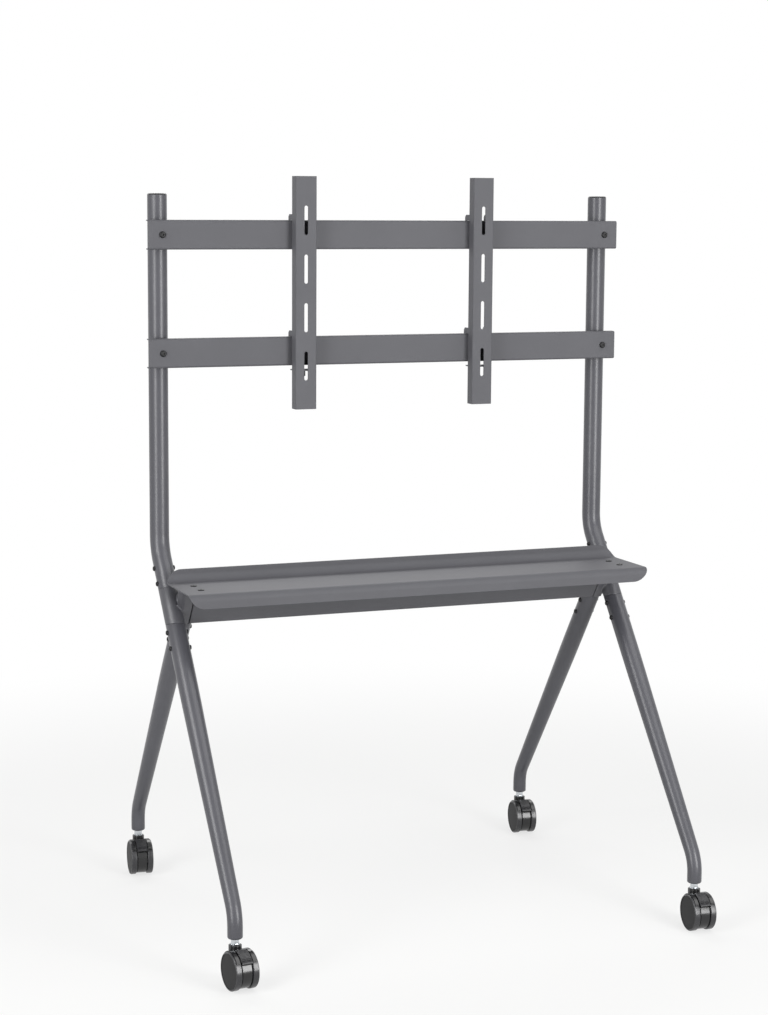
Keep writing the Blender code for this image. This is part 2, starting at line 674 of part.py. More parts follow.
def make_crossbeam():
    """A tray folded from sheet, in line with the rear legs, with thick end plates."""
    top_z = SHELF_TOP_Z - SHELF_SHEET - GAP
    half = BEAM_SHEET / 2
    inset = half / math.cos(REAR_ANGLE)
    floor_z = BEAM_BOTTOM_Z + half
    middle = ((web_front_y(top_z) + inset, top_z), (web_front_y(floor_z) + inset, floor_z),
              (web_rear_y(floor_z) - inset, floor_z), (web_rear_y(top_z) - inset, top_z))
    length = PARTING_X - GAP / 2
    reach = length - BEAM_END_PLATE / 2
    tray = side_plate("tray", folded(middle, BEAM_SHEET), -reach, reach)
    trim = half_space("trim", Vector((0, 0, top_z)), Vector((0, 0, 1)))
    tray = combine(tray, [trim], "DIFFERENCE")
    low_z = BEAM_BOTTOM_Z - BEAM_END_PROUD
    high_z = top_z - BEAM_END_PROUD
    outline = ((web_front_y(high_z) - BEAM_END_PROUD, high_z), (web_front_y(low_z) - BEAM_END_PROUD, low_z),
               (web_rear_y(low_z) + BEAM_END_PROUD, low_z), (web_rear_y(high_z) + BEAM_END_PROUD, high_z))
    extras = []
    for side in (-1, 1):
        extras.append(side_plate("end_plate", outline, side * length, side * (length - BEAM_END_PLATE)))
        for point in beam_bolt_points(side):
            head = point - Vector((side * BEAM_END_PLATE, 0, 0))
            inside = Vector((side * 0.001, 0, 0))
            reach = Vector((side * BEAM_BOLT_DEPTH, 0, 0))
            extras.append(rod("shank", head, point + reach, BEAM_BOLT_RADIUS, 2))
            extras.append(rod("head", head - Vector((side * BEAM_BOLT_HEAD_HEIGHT, 0, 0)), head + inside,
                              BEAM_BOLT_HEAD_RADIUS, 2))
    return combine(tray, extras, "UNION")


# Hanger rails and arms

def rail_front_y():
    return UPRIGHT_Y - TUBE_RADIUS - RAIL_STANDOFF


def make_rail(z):
    """A folded channel, with a saddle inside each end that seats on the upright."""
    half = RAIL_SHEET / 2
    front = rail_front_y() + half
    rear = rail_front_y() + RAIL_DEPTH
    low, high = z - RAIL_HEIGHT / 2 + half, z + RAIL_HEIGHT / 2 - half
    section = folded(((rear, low), (front, low), (front, high), (rear, high)), RAIL_SHEET)
    rail = side_plate("rail", section, -RAIL_HALF_LENGTH, RAIL_HALF_LENGTH)
    saddles = []
    seats = []
    for side in (-1, 1):
        x = side * UPRIGHT_X
        saddles.append(box("saddle", (x - SADDLE_HALF_WIDTH, front, z - SADDLE_HALF_HEIGHT),
                           (x + SADDLE_HALF_WIDTH, UPRIGHT_Y - TUBE_RADIUS + SADDLE_WRAP,
                            z + SADDLE_HALF_HEIGHT)))
        seats.append(rod("seat", Vector((x, UPRIGHT_Y, z - RAIL_HEIGHT)),
                         Vector((x, UPRIGHT_Y, z + RAIL_HEIGHT)), TUBE_RADIUS + GAP, TUBE_SIDES_STEP))
        centre = Vector((x, UPRIGHT_Y, z))
        reach = Vector((0, TUBE_RADIUS * 3, 0))
        seats.append(rod("hole", centre - reach, centre, RAIL_BOLT_RADIUS + BOLT_CLEARANCE, 2))
    return combine(combine(rail, saddles, "UNION"), seats, "DIFFERENCE")


def make_rail_bolt_mesh():
    """Cap head in front of the rail and nut behind the tube, along Y through the origin."""
    front = TUBE_RADIUS + RAIL_STANDOFF + GAP
    back = TUBE_RADIUS + GAP
    r = RAIL_BOLT_RADIUS
    profile = ((0.0, back + r * 1.8), (r * 1.8, back + r * 1.8), (r * 1.8, back), (r, back),
               (r, -front), (r * 1.7, -front), (r * 1.2, -front - r), (0.0, -front - r))
    return turned("rail_bolt", profile, BOLT_STEPS, Matrix.Rotation(-math.pi / 2, 4, "X"))


def slot_outline(z):
    """An upright slot with round ends."""
    r = SLOT_WIDTH / 2
    straight = SLOT_LENGTH / 2 - r
    return arc((0.0, z + straight), r, 0.0, 180.0, 3) + arc((0.0, z - straight), r, 180.0, 360.0, 3)


def make_arm():
    """A folded arm that hooks over both rails, with slots and a lock screw."""
    back = rail_front_y() - GAP
    front = back - ARM_DEPTH
    flange_rear = rail_front_y() + RAIL_DEPTH + GAP
    outline = [(front, ARM_BOTTOM_Z), (back, ARM_BOTTOM_Z)]
    for z in RAIL_HEIGHTS:
        top = z + RAIL_HEIGHT / 2 + GAP
        outline += [(back, top), (flange_rear, top), (flange_rear, top - HOOK_DROP),
                    (flange_rear + HOOK_TIP, top - HOOK_DROP),
                    (flange_rear + HOOK_TIP, top + HOOK_RISE * 0.6),
                    (flange_rear + HOOK_TIP * 0.3, top + HOOK_RISE), (back, top + HOOK_RISE)]
    outline += [(back, ARM_TOP_Z), (front, ARM_TOP_Z)]
    half = ARM_WIDTH / 2
    left = side_plate("left", outline, -half, -half + ARM_SHEET)
    right = side_plate("right", outline, half - ARM_SHEET, half)
    web = box("web", (-half, front, ARM_BOTTOM_Z), (half, front + ARM_SHEET, ARM_TOP_Z))
    rail_low = RAIL_HEIGHTS[0] - RAIL_HEIGHT / 2
    tab_top = rail_low - LOCK_TAB_GAP
    screw_y = rail_front_y() + RAIL_DEPTH / 2
    inside = half - ARM_SHEET / 2
    tab = box("tab", (-inside, front + ARM_SHEET / 2, tab_top - ARM_SHEET),
              (inside, screw_y + LOCK_KNOB_RADIUS * 0.7, tab_top))
    screw = rod("screw", Vector((0, screw_y, tab_top - LOCK_KNOB_HEIGHT)),
                Vector((0, screw_y, rail_low - GAP)), LOCK_SCREW_RADIUS)
    knob = rod("knob", Vector((0, screw_y, tab_top - ARM_SHEET * 1.5 - LOCK_KNOB_HEIGHT)),
               Vector((0, screw_y, tab_top - ARM_SHEET / 2)), LOCK_KNOB_RADIUS, 5)
    arm = combine(web, [left, right, tab, screw, knob], "UNION")
    middle = (ARM_TOP_Z + ARM_BOTTOM_Z) / 2
    slots = []
    for i in range(SLOT_COUNT):
        z = middle + SLOT_PITCH * (i - (SLOT_COUNT - 1) / 2)
        slots.append(front_plate("slot", slot_outline(z), front - ARM_SHEET, front + 2 * ARM_SHEET))
    return combine(arm, slots, "DIFFERENCE")


def make_cap_mesh():
    plug = TUBE_RADIUS - TUBE_WALL - SPIGOT_CLEARANCE
    top = GAP + CAP_THICKNESS
    profile = ((0.0, top), (TUBE_RADIUS - CAP_THICKNESS / 2, top), (TUBE_RADIUS, GAP), (plug, GAP),
               (plug, -CAP_PLUG_DEPTH), (0.0, -CAP_PLUG_DEPTH))
    return turned("cap", profile, 2 * TUBE_SIDES_STEP + 4)


# Caster pieces, each in the caster's own frame

def round_point(radius, angle):
    """A point about the axle in Y and Z; 0 degrees is the front, 90 the top."""
    a = math.radians(angle)
    return (-CASTER_TRAIL - radius * math.cos(a), WHEEL_RADIUS + radius * math.sin(a))


def hood_inner():
    return WHEEL_RADIUS + HOOD_CLEARANCE


def core_radius():
    """Top of the body's core, a third of the way into the hood's wall."""
    return hood_inner() + HOOD_THICKNESS / 3


def pedal_inner():
    return core_radius() + GAP


def pedal_half_width():
    """Narrow enough to pass between the wheels when pressed."""
    return HUB_HALF_WIDTH + WHEEL_GAP - PEDAL_SIDE_CLEARANCE


def round_points(radius, start, end, steps):
    return [round_point(radius, start + (end - start) * i / steps) for i in range(steps + 1)]


def make_caster_body():
    outline = round_points(core_radius(), CORE_FRONT_ANGLE, HOOD_REAR_ANGLE - 4, 5)
    outline += round_points(HUB_RADIUS, HOOD_REAR_ANGLE, 360 + CORE_FRONT_ANGLE, 14)
    core = side_plate("core", outline, -HUB_HALF_WIDTH, HUB_HALF_WIDTH)
    hood_outer = hood_inner() + HOOD_THICKNESS
    middle_radius = (HUB_RADIUS + hood_inner()) / 2
    hood_outline = round_points(hood_outer, HOOD_FRONT_ANGLE, HOOD_REAR_ANGLE, HOOD_STEPS)
    hood_outline += round_points(hood_inner(), HOOD_REAR_ANGLE, HOOD_FRONT_ANGLE, HOOD_STEPS)
    hood = side_plate("hood", hood_outline, -HOOD_HALF_WIDTH, HOOD_HALF_WIDTH)
    notch_outline = round_points(hood_outer + 0.006, HOOD_FRONT_ANGLE - 8, PEDAL_REAR_ANGLE + 2, 4)
    notch_outline += round_points(core_radius(), PEDAL_REAR_ANGLE + 2, CORE_FRONT_ANGLE - 1, 2)
    notch_outline += round_points(middle_radius, CORE_FRONT_ANGLE - 1, HOOD_FRONT_ANGLE - 8, 5)
    slot = pedal_half_width() + PEDAL_SIDE_CLEARANCE
    notch = side_plate("notch", notch_outline, -slot, slot)
    hood = combine(hood, [notch], "DIFFERENCE")
    rim = []
    for i in range(COLLAR_FLUTES * 2):
        radius = COLLAR_RADIUS if i % 2 else COLLAR_RADIUS - FLUTE_DEPTH
        rim += arc((0.0, 0.0), radius, (i - 0.35) * 180 / COLLAR_FLUTES, (i + 0.35) * 180 / COLLAR_FLUTES, 1)
    collar = floor_plate("collar", rim, COLLAR_BOTTOM_Z, COLLAR_TOP_Z)
    well_from = HUB_HALF_WIDTH + WHEEL_GAP / 2
    wells = [rod("well", (side * well_from, -CASTER_TRAIL, WHEEL_RADIUS),
                 (side * HOOD_HALF_WIDTH, -CASTER_TRAIL, WHEEL_RADIUS), core_radius(), TUBE_SIDES_STEP)
             for side in (-1, 1)]
    collar = combine(collar, wells, "DIFFERENCE")
    body = combine(core, [hood, collar], "UNION")
    stem_hole = rod("stem_hole", (0, 0, STEM_BOTTOM_Z - 2 * GAP), (0, 0, COLLAR_TOP_Z + 0.01),
                    STEM_RADIUS + STEM_SOCKET_CLEARANCE)
    axle_y, axle_z = -CASTER_TRAIL, WHEEL_RADIUS
    axle_hole = rod("axle_hole", (-HOOD_HALF_WIDTH, axle_y, axle_z), (HOOD_HALF_WIDTH, axle_y, axle_z),
                    AXLE_RADIUS + BORE_CLEARANCE)
    pivot = round_point(PEDAL_PIVOT_RADIUS, PEDAL_PIVOT_ANGLE)
    groove = rod("groove", (-HOOD_HALF_WIDTH, *pivot), (HOOD_HALF_WIDTH, *pivot),
                 PEDAL_BARREL_RADIUS + GAP)
    return combine(body, [stem_hole, axle_hole, groove], "DIFFERENCE")


def make_pedal():
    """A ribbed brake pedal that snaps into the groove of the body, about its pivot."""
    inner = pedal_inner()
    outer = inner + PEDAL_THICKNESS
    lip_end = PEDAL_FRONT_ANGLE + 3
    step = (PEDAL_REAR_ANGLE - lip_end) / (PEDAL_RIBS * 2 + 2)
    outline = round_points(outer + PEDAL_LIP, PEDAL_FRONT_ANGLE, lip_end, 1)
    for i in range(1, PEDAL_RIBS * 2 + 2):
        radius = outer + (PEDAL_RIB if i % 2 == 0 else 0.0)
        middle = lip_end + step * i
        outline += round_points(radius, middle - step * 0.3, middle + step * 0.3, 1)
    outline += [round_point(outer, PEDAL_REAR_ANGLE)]
    outline += round_points(inner, PEDAL_REAR_ANGLE, PEDAL_FRONT_ANGLE, 8)
    pedal = side_plate("pedal", outline, -pedal_half_width(), pedal_half_width())
    pivot = round_point(PEDAL_PIVOT_RADIUS, PEDAL_PIVOT_ANGLE)
    barrel_half = HUB_HALF_WIDTH
    barrel = rod("barrel", (-barrel_half, *pivot), (barrel_half, *pivot), PEDAL_BARREL_RADIUS, 3)
    neck_half = PEDAL_BARREL_RADIUS * 0.55
    top = round_point(outer - PEDAL_THICKNESS / 2, PEDAL_PIVOT_ANGLE)
    neck = side_plate("neck", ((pivot[0] - neck_half, pivot[1]), (pivot[0] + neck_half, pivot[1]),
                               (top[0] + neck_half, top[1]), (top[0] - neck_half, top[1])),
                      -barrel_half, barrel_half)
    pedal = combine(pedal, [barrel, neck], "UNION")
    pedal.data.transform(Matrix.Translation((0, -pivot[0], -pivot[1])))
    return pedal


def make_wheel_mesh():
    """A dished wheel with a blind bore, about the axle; its outer face looks along +X."""
    r = WHEEL_RADIUS
    w = WHEEL_WIDTH
    bore = AXLE_RADIUS + BORE_CLEARANCE
    groove = WHEEL_GROOVE_DEPTH
    profile = ((0.0, w), (r * 0.85, w), (r * 0.87, w - groove), (r * 0.91, w - groove), (r * 0.93, w),
               (r, w - WHEEL_EDGE), (r, WHEEL_EDGE / 2), (r - WHEEL_EDGE, 0.0), (bore, 0.0),
               (bore, WHEEL_BORE_DEPTH), (0.0, WHEEL_BORE_DEPTH))
    turn = Matrix.Rotation(math.pi / 2, 4, "Y")
    return turned("wheel", profile, WHEEL_STEPS, turn)


def make_stem():
    """Threaded stem with a hexagon between the foot and the caster's collar."""
    low = COLLAR_TOP_Z + GAP
    high = FOOT_END_Z - GAP
    seat = low + STEM_WASHER
    hexagon = floor_plate("hexagon", arc((0, 0), STEM_HEX_RADIUS, 0, 300, 5), seat - GAP, high)
    washer = rod("washer", (0, 0, low), (0, 0, seat), STEM_HEX_RADIUS * 1.1, 3)
    pin = rod("pin", (0, 0, STEM_BOTTOM_Z), (0, 0, FOOT_END_Z + STEM_THREAD_DEPTH), STEM_RADIUS, 2)
    return combine(pin, [hexagon, washer], "UNION")


def make_casters(colours):
    corner_z = rear_corner_z()
    body = finish(make_caster_body(), "caster_body", colours["black_plastic"])
    pedal = finish(make_pedal(), "pedal", colours["pedal_plastic"])
    wheel = finish(make_wheel_mesh(), "wheel", colours["wheel_plastic"])
    stem = finish(make_stem(), "stem", colours["zinc_steel"])
    half = HUB_HALF_WIDTH + WHEEL_GAP + WHEEL_BORE_DEPTH - GAP
    axle = rod("axle", (-half, 0, 0), (half, 0, 0), AXLE_RADIUS, 4)
    axle = finish(axle, "axle", colours["zinc_steel"])
    pivot = round_point(PEDAL_PIVOT_RADIUS, PEDAL_PIVOT_ANGLE)
    for place, turn in CASTER_TURNS.items():
        point = front_point if place.startswith("front") else rear_point
        foot = point(-1 if place.endswith("left") else 1, corner_z)
        axis = bpy.data.objects.new(f"caster_{place}_axis", None)
        PARTS.objects.link(axis)
        axis.location = (foot.x, foot.y, 0.0)
        axis.rotation_euler = (0.0, 0.0, math.radians(turn))
        bpy.context.view_layer.update()
        centre = Matrix.Translation((0, -CASTER_TRAIL, WHEEL_RADIUS))
        inner = HUB_HALF_WIDTH + WHEEL_GAP
        place_copy(stem.data, f"caster_{place}_stem", Matrix.Identity(4), axis)
        place_copy(body.data, f"caster_{place}_body", Matrix.Identity(4), axis)
        place_copy(axle.data, f"caster_{place}_axle", centre, axis)
        place_copy(wheel.data, f"caster_{place}_wheel_right",
                   centre @ Matrix.Translation((inner, 0, 0)), axis)
        place_copy(wheel.data, f"caster_{place}_wheel_left",
                   centre @ Matrix.Translation((-inner, 0, 0)) @ Matrix.Rotation(math.pi, 4, "Z"), axis)
        place_copy(pedal.data, f"caster_{place}_pedal", Matrix.Translation((0, *pivot)), axis)
    for pattern in (body, pedal, wheel, stem, axle):
        bpy.data.objects.remove(pattern, do_unlink=True)


def make_frame(colours):
    cap = make_cap_mesh()
    for side, hand in ((-1, "left"), (1, "right")):
        finish(make_upright(side), f"upright_{hand}", colours["painted_tube"])
        finish(make_knuckle(side), f"knuckle_{hand}", colours["painted_casting"])
        finish(make_leg(side, True), f"leg_front_{hand}", colours["painted_tube"])
        finish(make_leg(side, False), f"leg_rear_{hand}", colours["painted_tube"])
        top = Matrix.Translation((side * UPRIGHT_X, UPRIGHT_Y, UPRIGHT_TOP_Z))
        finish(place_copy(cap.data, f"cap_{hand}", top), f"cap_{hand}", colours["cap_plastic"])
    bpy.data.objects.remove(cap, do_unlink=True)
    finish(make_crossbeam(), "crossbeam", colours["painted_sheet"])
    finish(make_shelf(), "shelf", colours["painted_sheet"])


def make_bolts(colours):
    bolt = finish(make_bolt_mesh(), "bolt", colours["black_screw"])
    for name, centre in bolt_places():
        place_copy(bolt.data, name, Matrix.Translation(centre))
    shelf_bolt = finish(make_shelf_bolt_mesh(), "shelf_bolt", colours["black_screw"])
    for side, hand in ((-1, "left"), (1, "right")):
        for number, point in enumerate(shelf_bolt_points(side)):
            place_copy(shelf_bolt.data, f"shelf_bolt_{hand}_{number + 1}", Matrix.Translation(point))
    for pattern in (bolt, shelf_bolt):
        bpy.data.objects.remove(pattern, do_unlink=True)


def make_hanger(colours):
    bolt = finish(make_rail_bolt_mesh(), "rail_bolt", colours["black_screw"])
    for level, z in zip(("lower", "upper"), RAIL_HEIGHTS):
        finish(make_rail(z), f"rail_{level}", colours["painted_sheet"])
        for side, hand in ((-1, "left"), (1, "right")):
            place = Matrix.Translation((side * UPRIGHT_X, UPRIGHT_Y, z))
            place_copy(bolt.data, f"rail_bolt_{level}_{hand}", place)
    bpy.data.objects.remove(bolt, do_unlink=True)
    arm = finish(make_arm(), "arm", colours["painted_sheet"])
    for side, hand in ((-1, "left"), (1, "right")):
        place_copy(arm.data, f"hanger_arm_{hand}", Matrix.Translation((side * ARM_X, 0, 0)))
    bpy.data.objects.remove(arm, do_unlink=True)


def main():
    clear_scene()
    colours = make_materials()
    make_frame(colours)
    make_bolts(colours)
    make_hanger(colours)
    make_casters(colours)


main()
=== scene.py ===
import math

import bmesh
import bpy
from bmesh.types import BMEdge, BMFace, BMVert
from mathutils import Matrix, Vector


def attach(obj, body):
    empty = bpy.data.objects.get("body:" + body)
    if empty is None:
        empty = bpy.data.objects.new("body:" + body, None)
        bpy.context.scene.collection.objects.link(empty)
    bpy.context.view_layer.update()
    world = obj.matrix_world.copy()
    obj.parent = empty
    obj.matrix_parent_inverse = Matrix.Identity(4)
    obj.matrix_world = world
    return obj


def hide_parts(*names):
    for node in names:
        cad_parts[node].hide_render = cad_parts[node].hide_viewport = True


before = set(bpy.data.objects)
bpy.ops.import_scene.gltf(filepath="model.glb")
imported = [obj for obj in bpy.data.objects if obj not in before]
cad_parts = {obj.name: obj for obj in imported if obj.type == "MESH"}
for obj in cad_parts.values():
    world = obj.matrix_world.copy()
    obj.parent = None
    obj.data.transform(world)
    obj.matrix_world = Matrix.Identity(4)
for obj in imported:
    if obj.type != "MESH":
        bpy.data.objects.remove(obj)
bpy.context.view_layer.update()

# A rolling stand in dark grey powder coat: bent uprights, cast knuckles, tapered legs,
# folded shelf and crossbeam, hanger rails with sliding arms, and hooded twin-wheel casters.
# Lengths are in metres, angles in degrees.

stand = {
    "gap": 0.0003,  # seam between two parts
    "uprightX": 0.500, "uprightY": 0.127, "topZ": 1.500, "bendZ": 0.776, "bendRadius": 0.085,
    "bendSteps": 16, "frontLean": 38.0, "rearX": 0.471, "rearLean": 35.5, "rearReach": 0.289,
    "footCornerZ": 0.13987, "footEndZ": 0.0935, "footBendRadius": 0.075, "footBendSteps": 14,
    "tubeRadius": 0.020, "footRadius": 0.015, "taperTopZ": 0.505, "taperBlend": 0.02,
    "footRounding": 0.0035, "footRoundingSteps": 6, "tubeSides": 64,
    "upperSeamZ": 0.699, "lowerSeamZ": 0.6335, "rearSeamZ": 0.6275, "seamTilt": 19.0,
    "seamBevel": 0.0008, "upperSeamBevel": 0.0004, "shelfTopZ": 0.716, "shelfSheet": 0.0025,
}
gap, tubeRadius = stand["gap"], stand["tubeRadius"]
underShelfZ = stand["shelfTopZ"] - stand["shelfSheet"] - gap
sides = ((-1, "left"), (1, "right"))
small = 1e-6


def tan(degrees):
    return math.tan(math.radians(degrees))


def cos(degrees):
    return math.cos(math.radians(degrees))


def sin(degrees):
    return math.sin(math.radians(degrees))


# Lines that the tubes follow

def uprightPoint(side, z):
    return Vector((side * stand["uprightX"], stand["uprightY"], z))


def frontY(z):
    return stand["uprightY"] - tan(stand["frontLean"]) * (stand["bendZ"] - z)


def rearY(z):
    return stand["uprightY"] + stand["rearReach"] - tan(stand["rearLean"]) * (z - stand["footCornerZ"])


def frontPoint(side, z, along=0.0):
    height = z + along * cos(stand["frontLean"])
    return Vector((side * stand["uprightX"], frontY(height), height))


def rearPoint(side, z, along=0.0):
    height = z + along * cos(stand["rearLean"])
    return Vector((side * stand["rearX"], rearY(height), height))


def seamNormal(tilt):
    return Vector((0.0, sin(tilt), cos(tilt)))


def turnMatrix(degrees, axis):
    return Matrix.Rotation(math.radians(degrees), 4, axis)


def roundBend(before, corner, after, radius, steps):
    into = (corner - before).normalized()
    out = (after - corner).normalized()
    turn = into.angle(out)
    start = corner - into * radius * math.tan(turn / 2)
    axis = into.cross(out).normalized()
    centre = start + axis.cross(into) * radius
    return [centre + Matrix.Rotation(turn * i / steps, 3, axis) @ (start - centre)
            for i in range(steps + 1)]


# Materials

def linearColour(code):
    values = [int(code[i:i + 2], 16) / 255 for i in (1, 3, 5)]
    return tuple(v / 12.92 if v <= 0.04045 else ((v + 0.055) / 1.055) ** 2.4 for v in values) + (1.0,)


def addNode(tree, kind, values=None, links=None, **settings):
    node = tree.nodes.new("ShaderNode" + kind)
    for key, value in settings.items():
        setattr(node, key, value)
    for key, value in (values or {}).items():
        node.inputs[key].default_value = value
    for key, socket in (links or {}).items():
        tree.links.new(socket, node.inputs[key])
    return node


def surfaceMaterial(name, finish):
    # A base colour with a slow drift, a roughness that varies, and grain in the normal.
    material = bpy.data.materials.new(name)
    material.use_nodes = True
    tree = material.node_tree
    shader = tree.nodes["Principled BSDF"]
    place = addNode(tree, "TexCoord").outputs["Object"]
    drift = addNode(tree, "TexNoise", {"Scale": 1 / finish["drift"], "Detail": 3.0}, {"Vector": place})
    colours = {"Color1": linearColour(finish["dark"]), "Color2": linearColour(finish["light"])}
    tint = addNode(tree, "MixRGB", colours, {"Fac": drift.outputs["Fac"]})
    grain = addNode(tree, "TexNoise", {"Scale": 1 / finish["grain"], "Detail": 4.0, "Roughness": 0.6},
                    {"Vector": place})
    low, high = finish["roughness"]
    gloss = addNode(tree, "MapRange", {"To Min": low, "To Max": high}, {"Value": grain.outputs["Fac"]})
    bump = addNode(tree, "Bump", {"Strength": finish["bump"], "Distance": finish["relief"]},
                   {"Height": grain.outputs["Fac"]})
    tree.links.new(tint.outputs["Color"], shader.inputs["Base Color"])
    tree.links.new(gloss.outputs["Result"], shader.inputs["Roughness"])
    tree.links.new(bump.outputs["Normal"], shader.inputs["Normal"])
    shader.inputs["Metallic"].default_value = finish.get("metallic", 0.0)
    shader.inputs["IOR"].default_value = finish.get("ior", 1.5)
    return material


# Drift, grain and relief are real sizes. Grain finer than about 1 mm in life is drawn coarser, so that
# it shows. An IOR below the common 1.5 stands for a grain that takes some of the shine away.
finishes = {
    # Polyester powder coat, satin: a faint orange peel, 1.5 mm in life and drawn at 2.5 mm
    "powderCoat": {"dark": "#434348", "light": "#4c4c51", "drift": 0.09, "grain": 0.0025,
                   "roughness": (0.28, 0.36), "bump": 0.16, "relief": 0.00010, "ior": 1.46},
    # The same coat on folded sheet, thicker, evener and duller, so that flat faces don't glare
    "powderCoatSheet": {"dark": "#49494d", "light": "#515155", "drift": 0.12, "grain": 0.0025,
                        "roughness": (0.60, 0.68), "bump": 0.14, "relief": 0.00008, "ior": 1.43},
    # The same coat on a die casting, whose skin still shows as a coarser grain
    "castPowderCoat": {"dark": "#3f3f43", "light": "#4c4c51", "drift": 0.02, "grain": 0.0022,
                       "roughness": (0.34, 0.48), "bump": 0.35, "relief": 0.00018, "ior": 1.52},
    # Black oxide on alloy steel: dark, with an oily sheen
    "blackOxide": {"dark": "#08080a", "light": "#121214", "drift": 0.004, "grain": 0.0006,
                   "roughness": (0.38, 0.50), "bump": 0.10, "relief": 0.00002, "ior": 1.36},
    # Bright zinc plate: cold and clear, with fine turning marks
    "zincPlate": {"dark": "#b9bdc1", "light": "#d2d5d8", "drift": 0.005, "grain": 0.0007,
                  "roughness": (0.14, 0.24), "bump": 0.12, "relief": 0.00003, "metallic": 1.0},
    # Polyamide from a polished mould: black with sharp highlights
    "glossNylon": {"dark": "#0e0e0f", "light": "#171718", "drift": 0.012, "grain": 0.0015,
                   "roughness": (0.16, 0.25), "bump": 0.05, "relief": 0.00003, "ior": 1.53},
    # The tread, smooth and a little scuffed
    "treadNylon": {"dark": "#222224", "light": "#2c2c2f", "drift": 0.010, "grain": 0.0012,
                   "roughness": (0.20, 0.34), "bump": 0.08, "relief": 0.00004, "ior": 1.53},
    # The wheel's disc, from a spark-eroded mould: matte and evenly grained
    "erodedNylon": {"dark": "#131314", "light": "#1c1c1d", "drift": 0.015, "grain": 0.0008,
                    "roughness": (0.50, 0.64), "bump": 0.40, "relief": 0.00010, "ior": 1.33},
    # The pedal, a duller moulding whose fine ribs and shoe scuffs take most of its shine
    "pedalNylon": {"dark": "#151517", "light": "#1f1f22", "drift": 0.010, "grain": 0.0010,
                   "roughness": (0.34, 0.46), "bump": 0.20, "relief": 0.00006, "ior": 1.39},
    # Polyethylene plugs and knobs, matte
    "mattePlug": {"dark": "#1a1a1b", "light": "#262628", "drift": 0.010, "grain": 0.0010,
                  "roughness": (0.50, 0.62), "bump": 0.25, "relief": 0.00008, "ior": 1.51},
}
coats = {name: surfaceMaterial(name, finish) for name, finish in finishes.items()}
print("materials", len(coats))


# Mesh helpers

def ringMatrix(point, direction, radius):
    # Every path lies in a plane of constant X, so X is the frame's steady axis.
    forward = direction.normalized()
    across = Vector((1, 0, 0)) if abs(forward.x) < 0.9 else Vector((0, 1, 0))
    other = forward.cross(across).normalized()
    across = other.cross(forward)
    turn = Matrix((across, other, forward)).transposed().to_4x4()
    return Matrix.Translation(point) @ turn @ Matrix.Scale(radius, 4)


def only(kind, items):
    return [item for item in items if isinstance(item, kind)]


def lofted(frames, segments):
    # A ring carried through the frames and closed at both ends.
    bm = bmesh.new()
    made = bmesh.ops.create_circle(bm, cap_ends=True, radius=1.0, segments=segments, matrix=frames[0])
    faces = list(made["verts"][0].link_faces)
    for before, after in zip(frames, frames[1:]):
        moved = bmesh.ops.extrude_face_region(bm, geom=faces)["geom"]
        if before is not frames[0]:  # no disc stays inside
            bmesh.ops.delete(bm, geom=faces, context="FACES_ONLY")
        faces = only(BMFace, moved)
        bmesh.ops.transform(bm, matrix=after @ before.inverted(), verts=only(BMVert, moved))
    return bm


def sweptRod(path, radii, segments=stand["tubeSides"]):
    runs = [(b - a).normalized() for a, b in zip(path, path[1:])]
    aims = [runs[0]] + [a + b for a, b in zip(runs, runs[1:])] + [runs[-1]]
    return lofted([ringMatrix(*item) for item in zip(path, aims, radii)], segments)


def pin(start, end, radius, segments=stand["tubeSides"]):
    return sweptRod([start, end], [radius] * 2, segments)


def eased(bm, edges, width, segments=2):
    bmesh.ops.bevel(bm, geom=edges, offset=width, offset_type="OFFSET", segments=segments, profile=0.5,
                    affect="EDGES", clamp_overlap=True, material=-1)


def easedSharp(bm, width, angle=30.0, segments=2, keep=None):
    edges = [edge for edge in bm.edges if len(edge.link_faces) == 2
             and edge.calc_face_angle(0.0) > math.radians(angle) and (keep is None or keep(edge))]
    eased(bm, edges, width, segments)


def sliced(bm, point, normal, **settings):
    return bmesh.ops.bisect_plane(bm, geom=bm.verts[:] + bm.edges[:] + bm.faces[:], dist=small,
                                  plane_co=point, plane_no=normal, **settings)["geom_cut"]


def trimmed(bm, point, normal, bevel):
    # Cuts off what lies along normal, closes the cut and eases its rim.
    rim = only(BMEdge, sliced(bm, point, normal, clear_outer=True))
    bmesh.ops.edgeloop_fill(bm, edges=rim)
    eased(bm, rim, bevel)


def prism(outline, axis, start, end):
    # An outline in the plane across the axis, carried from start to end.
    def across(value, u, v):
        return {"X": (value, u, v), "Y": (u, value, v), "Z": (u, v, value)}[axis]
    bm = bmesh.new()
    face = bm.faces.new([bm.verts.new(across(start, u, v)) for u, v in outline])
    moved = bmesh.ops.extrude_face_region(bm, geom=[face])["geom"]
    bmesh.ops.translate(bm, vec=across(end - start, 0, 0), verts=only(BMVert, moved))
    return bm


def easedPrism(outline, axis, start, end, width, angle=30.0, segments=2, keep=None):
    bm = prism(outline, axis, start, end)
    bmesh.ops.recalc_face_normals(bm, faces=bm.faces)
    easedSharp(bm, width, angle, segments, keep)
    return bm


def block(low, high):
    return prism(((low[0], low[1]), (high[0], low[1]), (high[0], high[1]), (low[0], high[1])),
                 "Z", low[2], high[2])


def turned(profile, steps, matrix=Matrix.Identity(4)):
    # A profile of (radius, height) points spun about Z.
    bm = bmesh.new()
    verts = [bm.verts.new((radius, 0.0, height)) for radius, height in profile]
    edges = [bm.edges.new(pair) for pair in zip(verts, verts[1:])]
    bmesh.ops.spin(bm, geom=verts + edges, cent=(0, 0, 0), axis=(0, 0, 1), angle=math.tau, steps=steps,
                   use_merge=True)
    bmesh.ops.remove_doubles(bm, verts=bm.verts, dist=small)
    bmesh.ops.transform(bm, matrix=matrix, verts=bm.verts)
    return bm


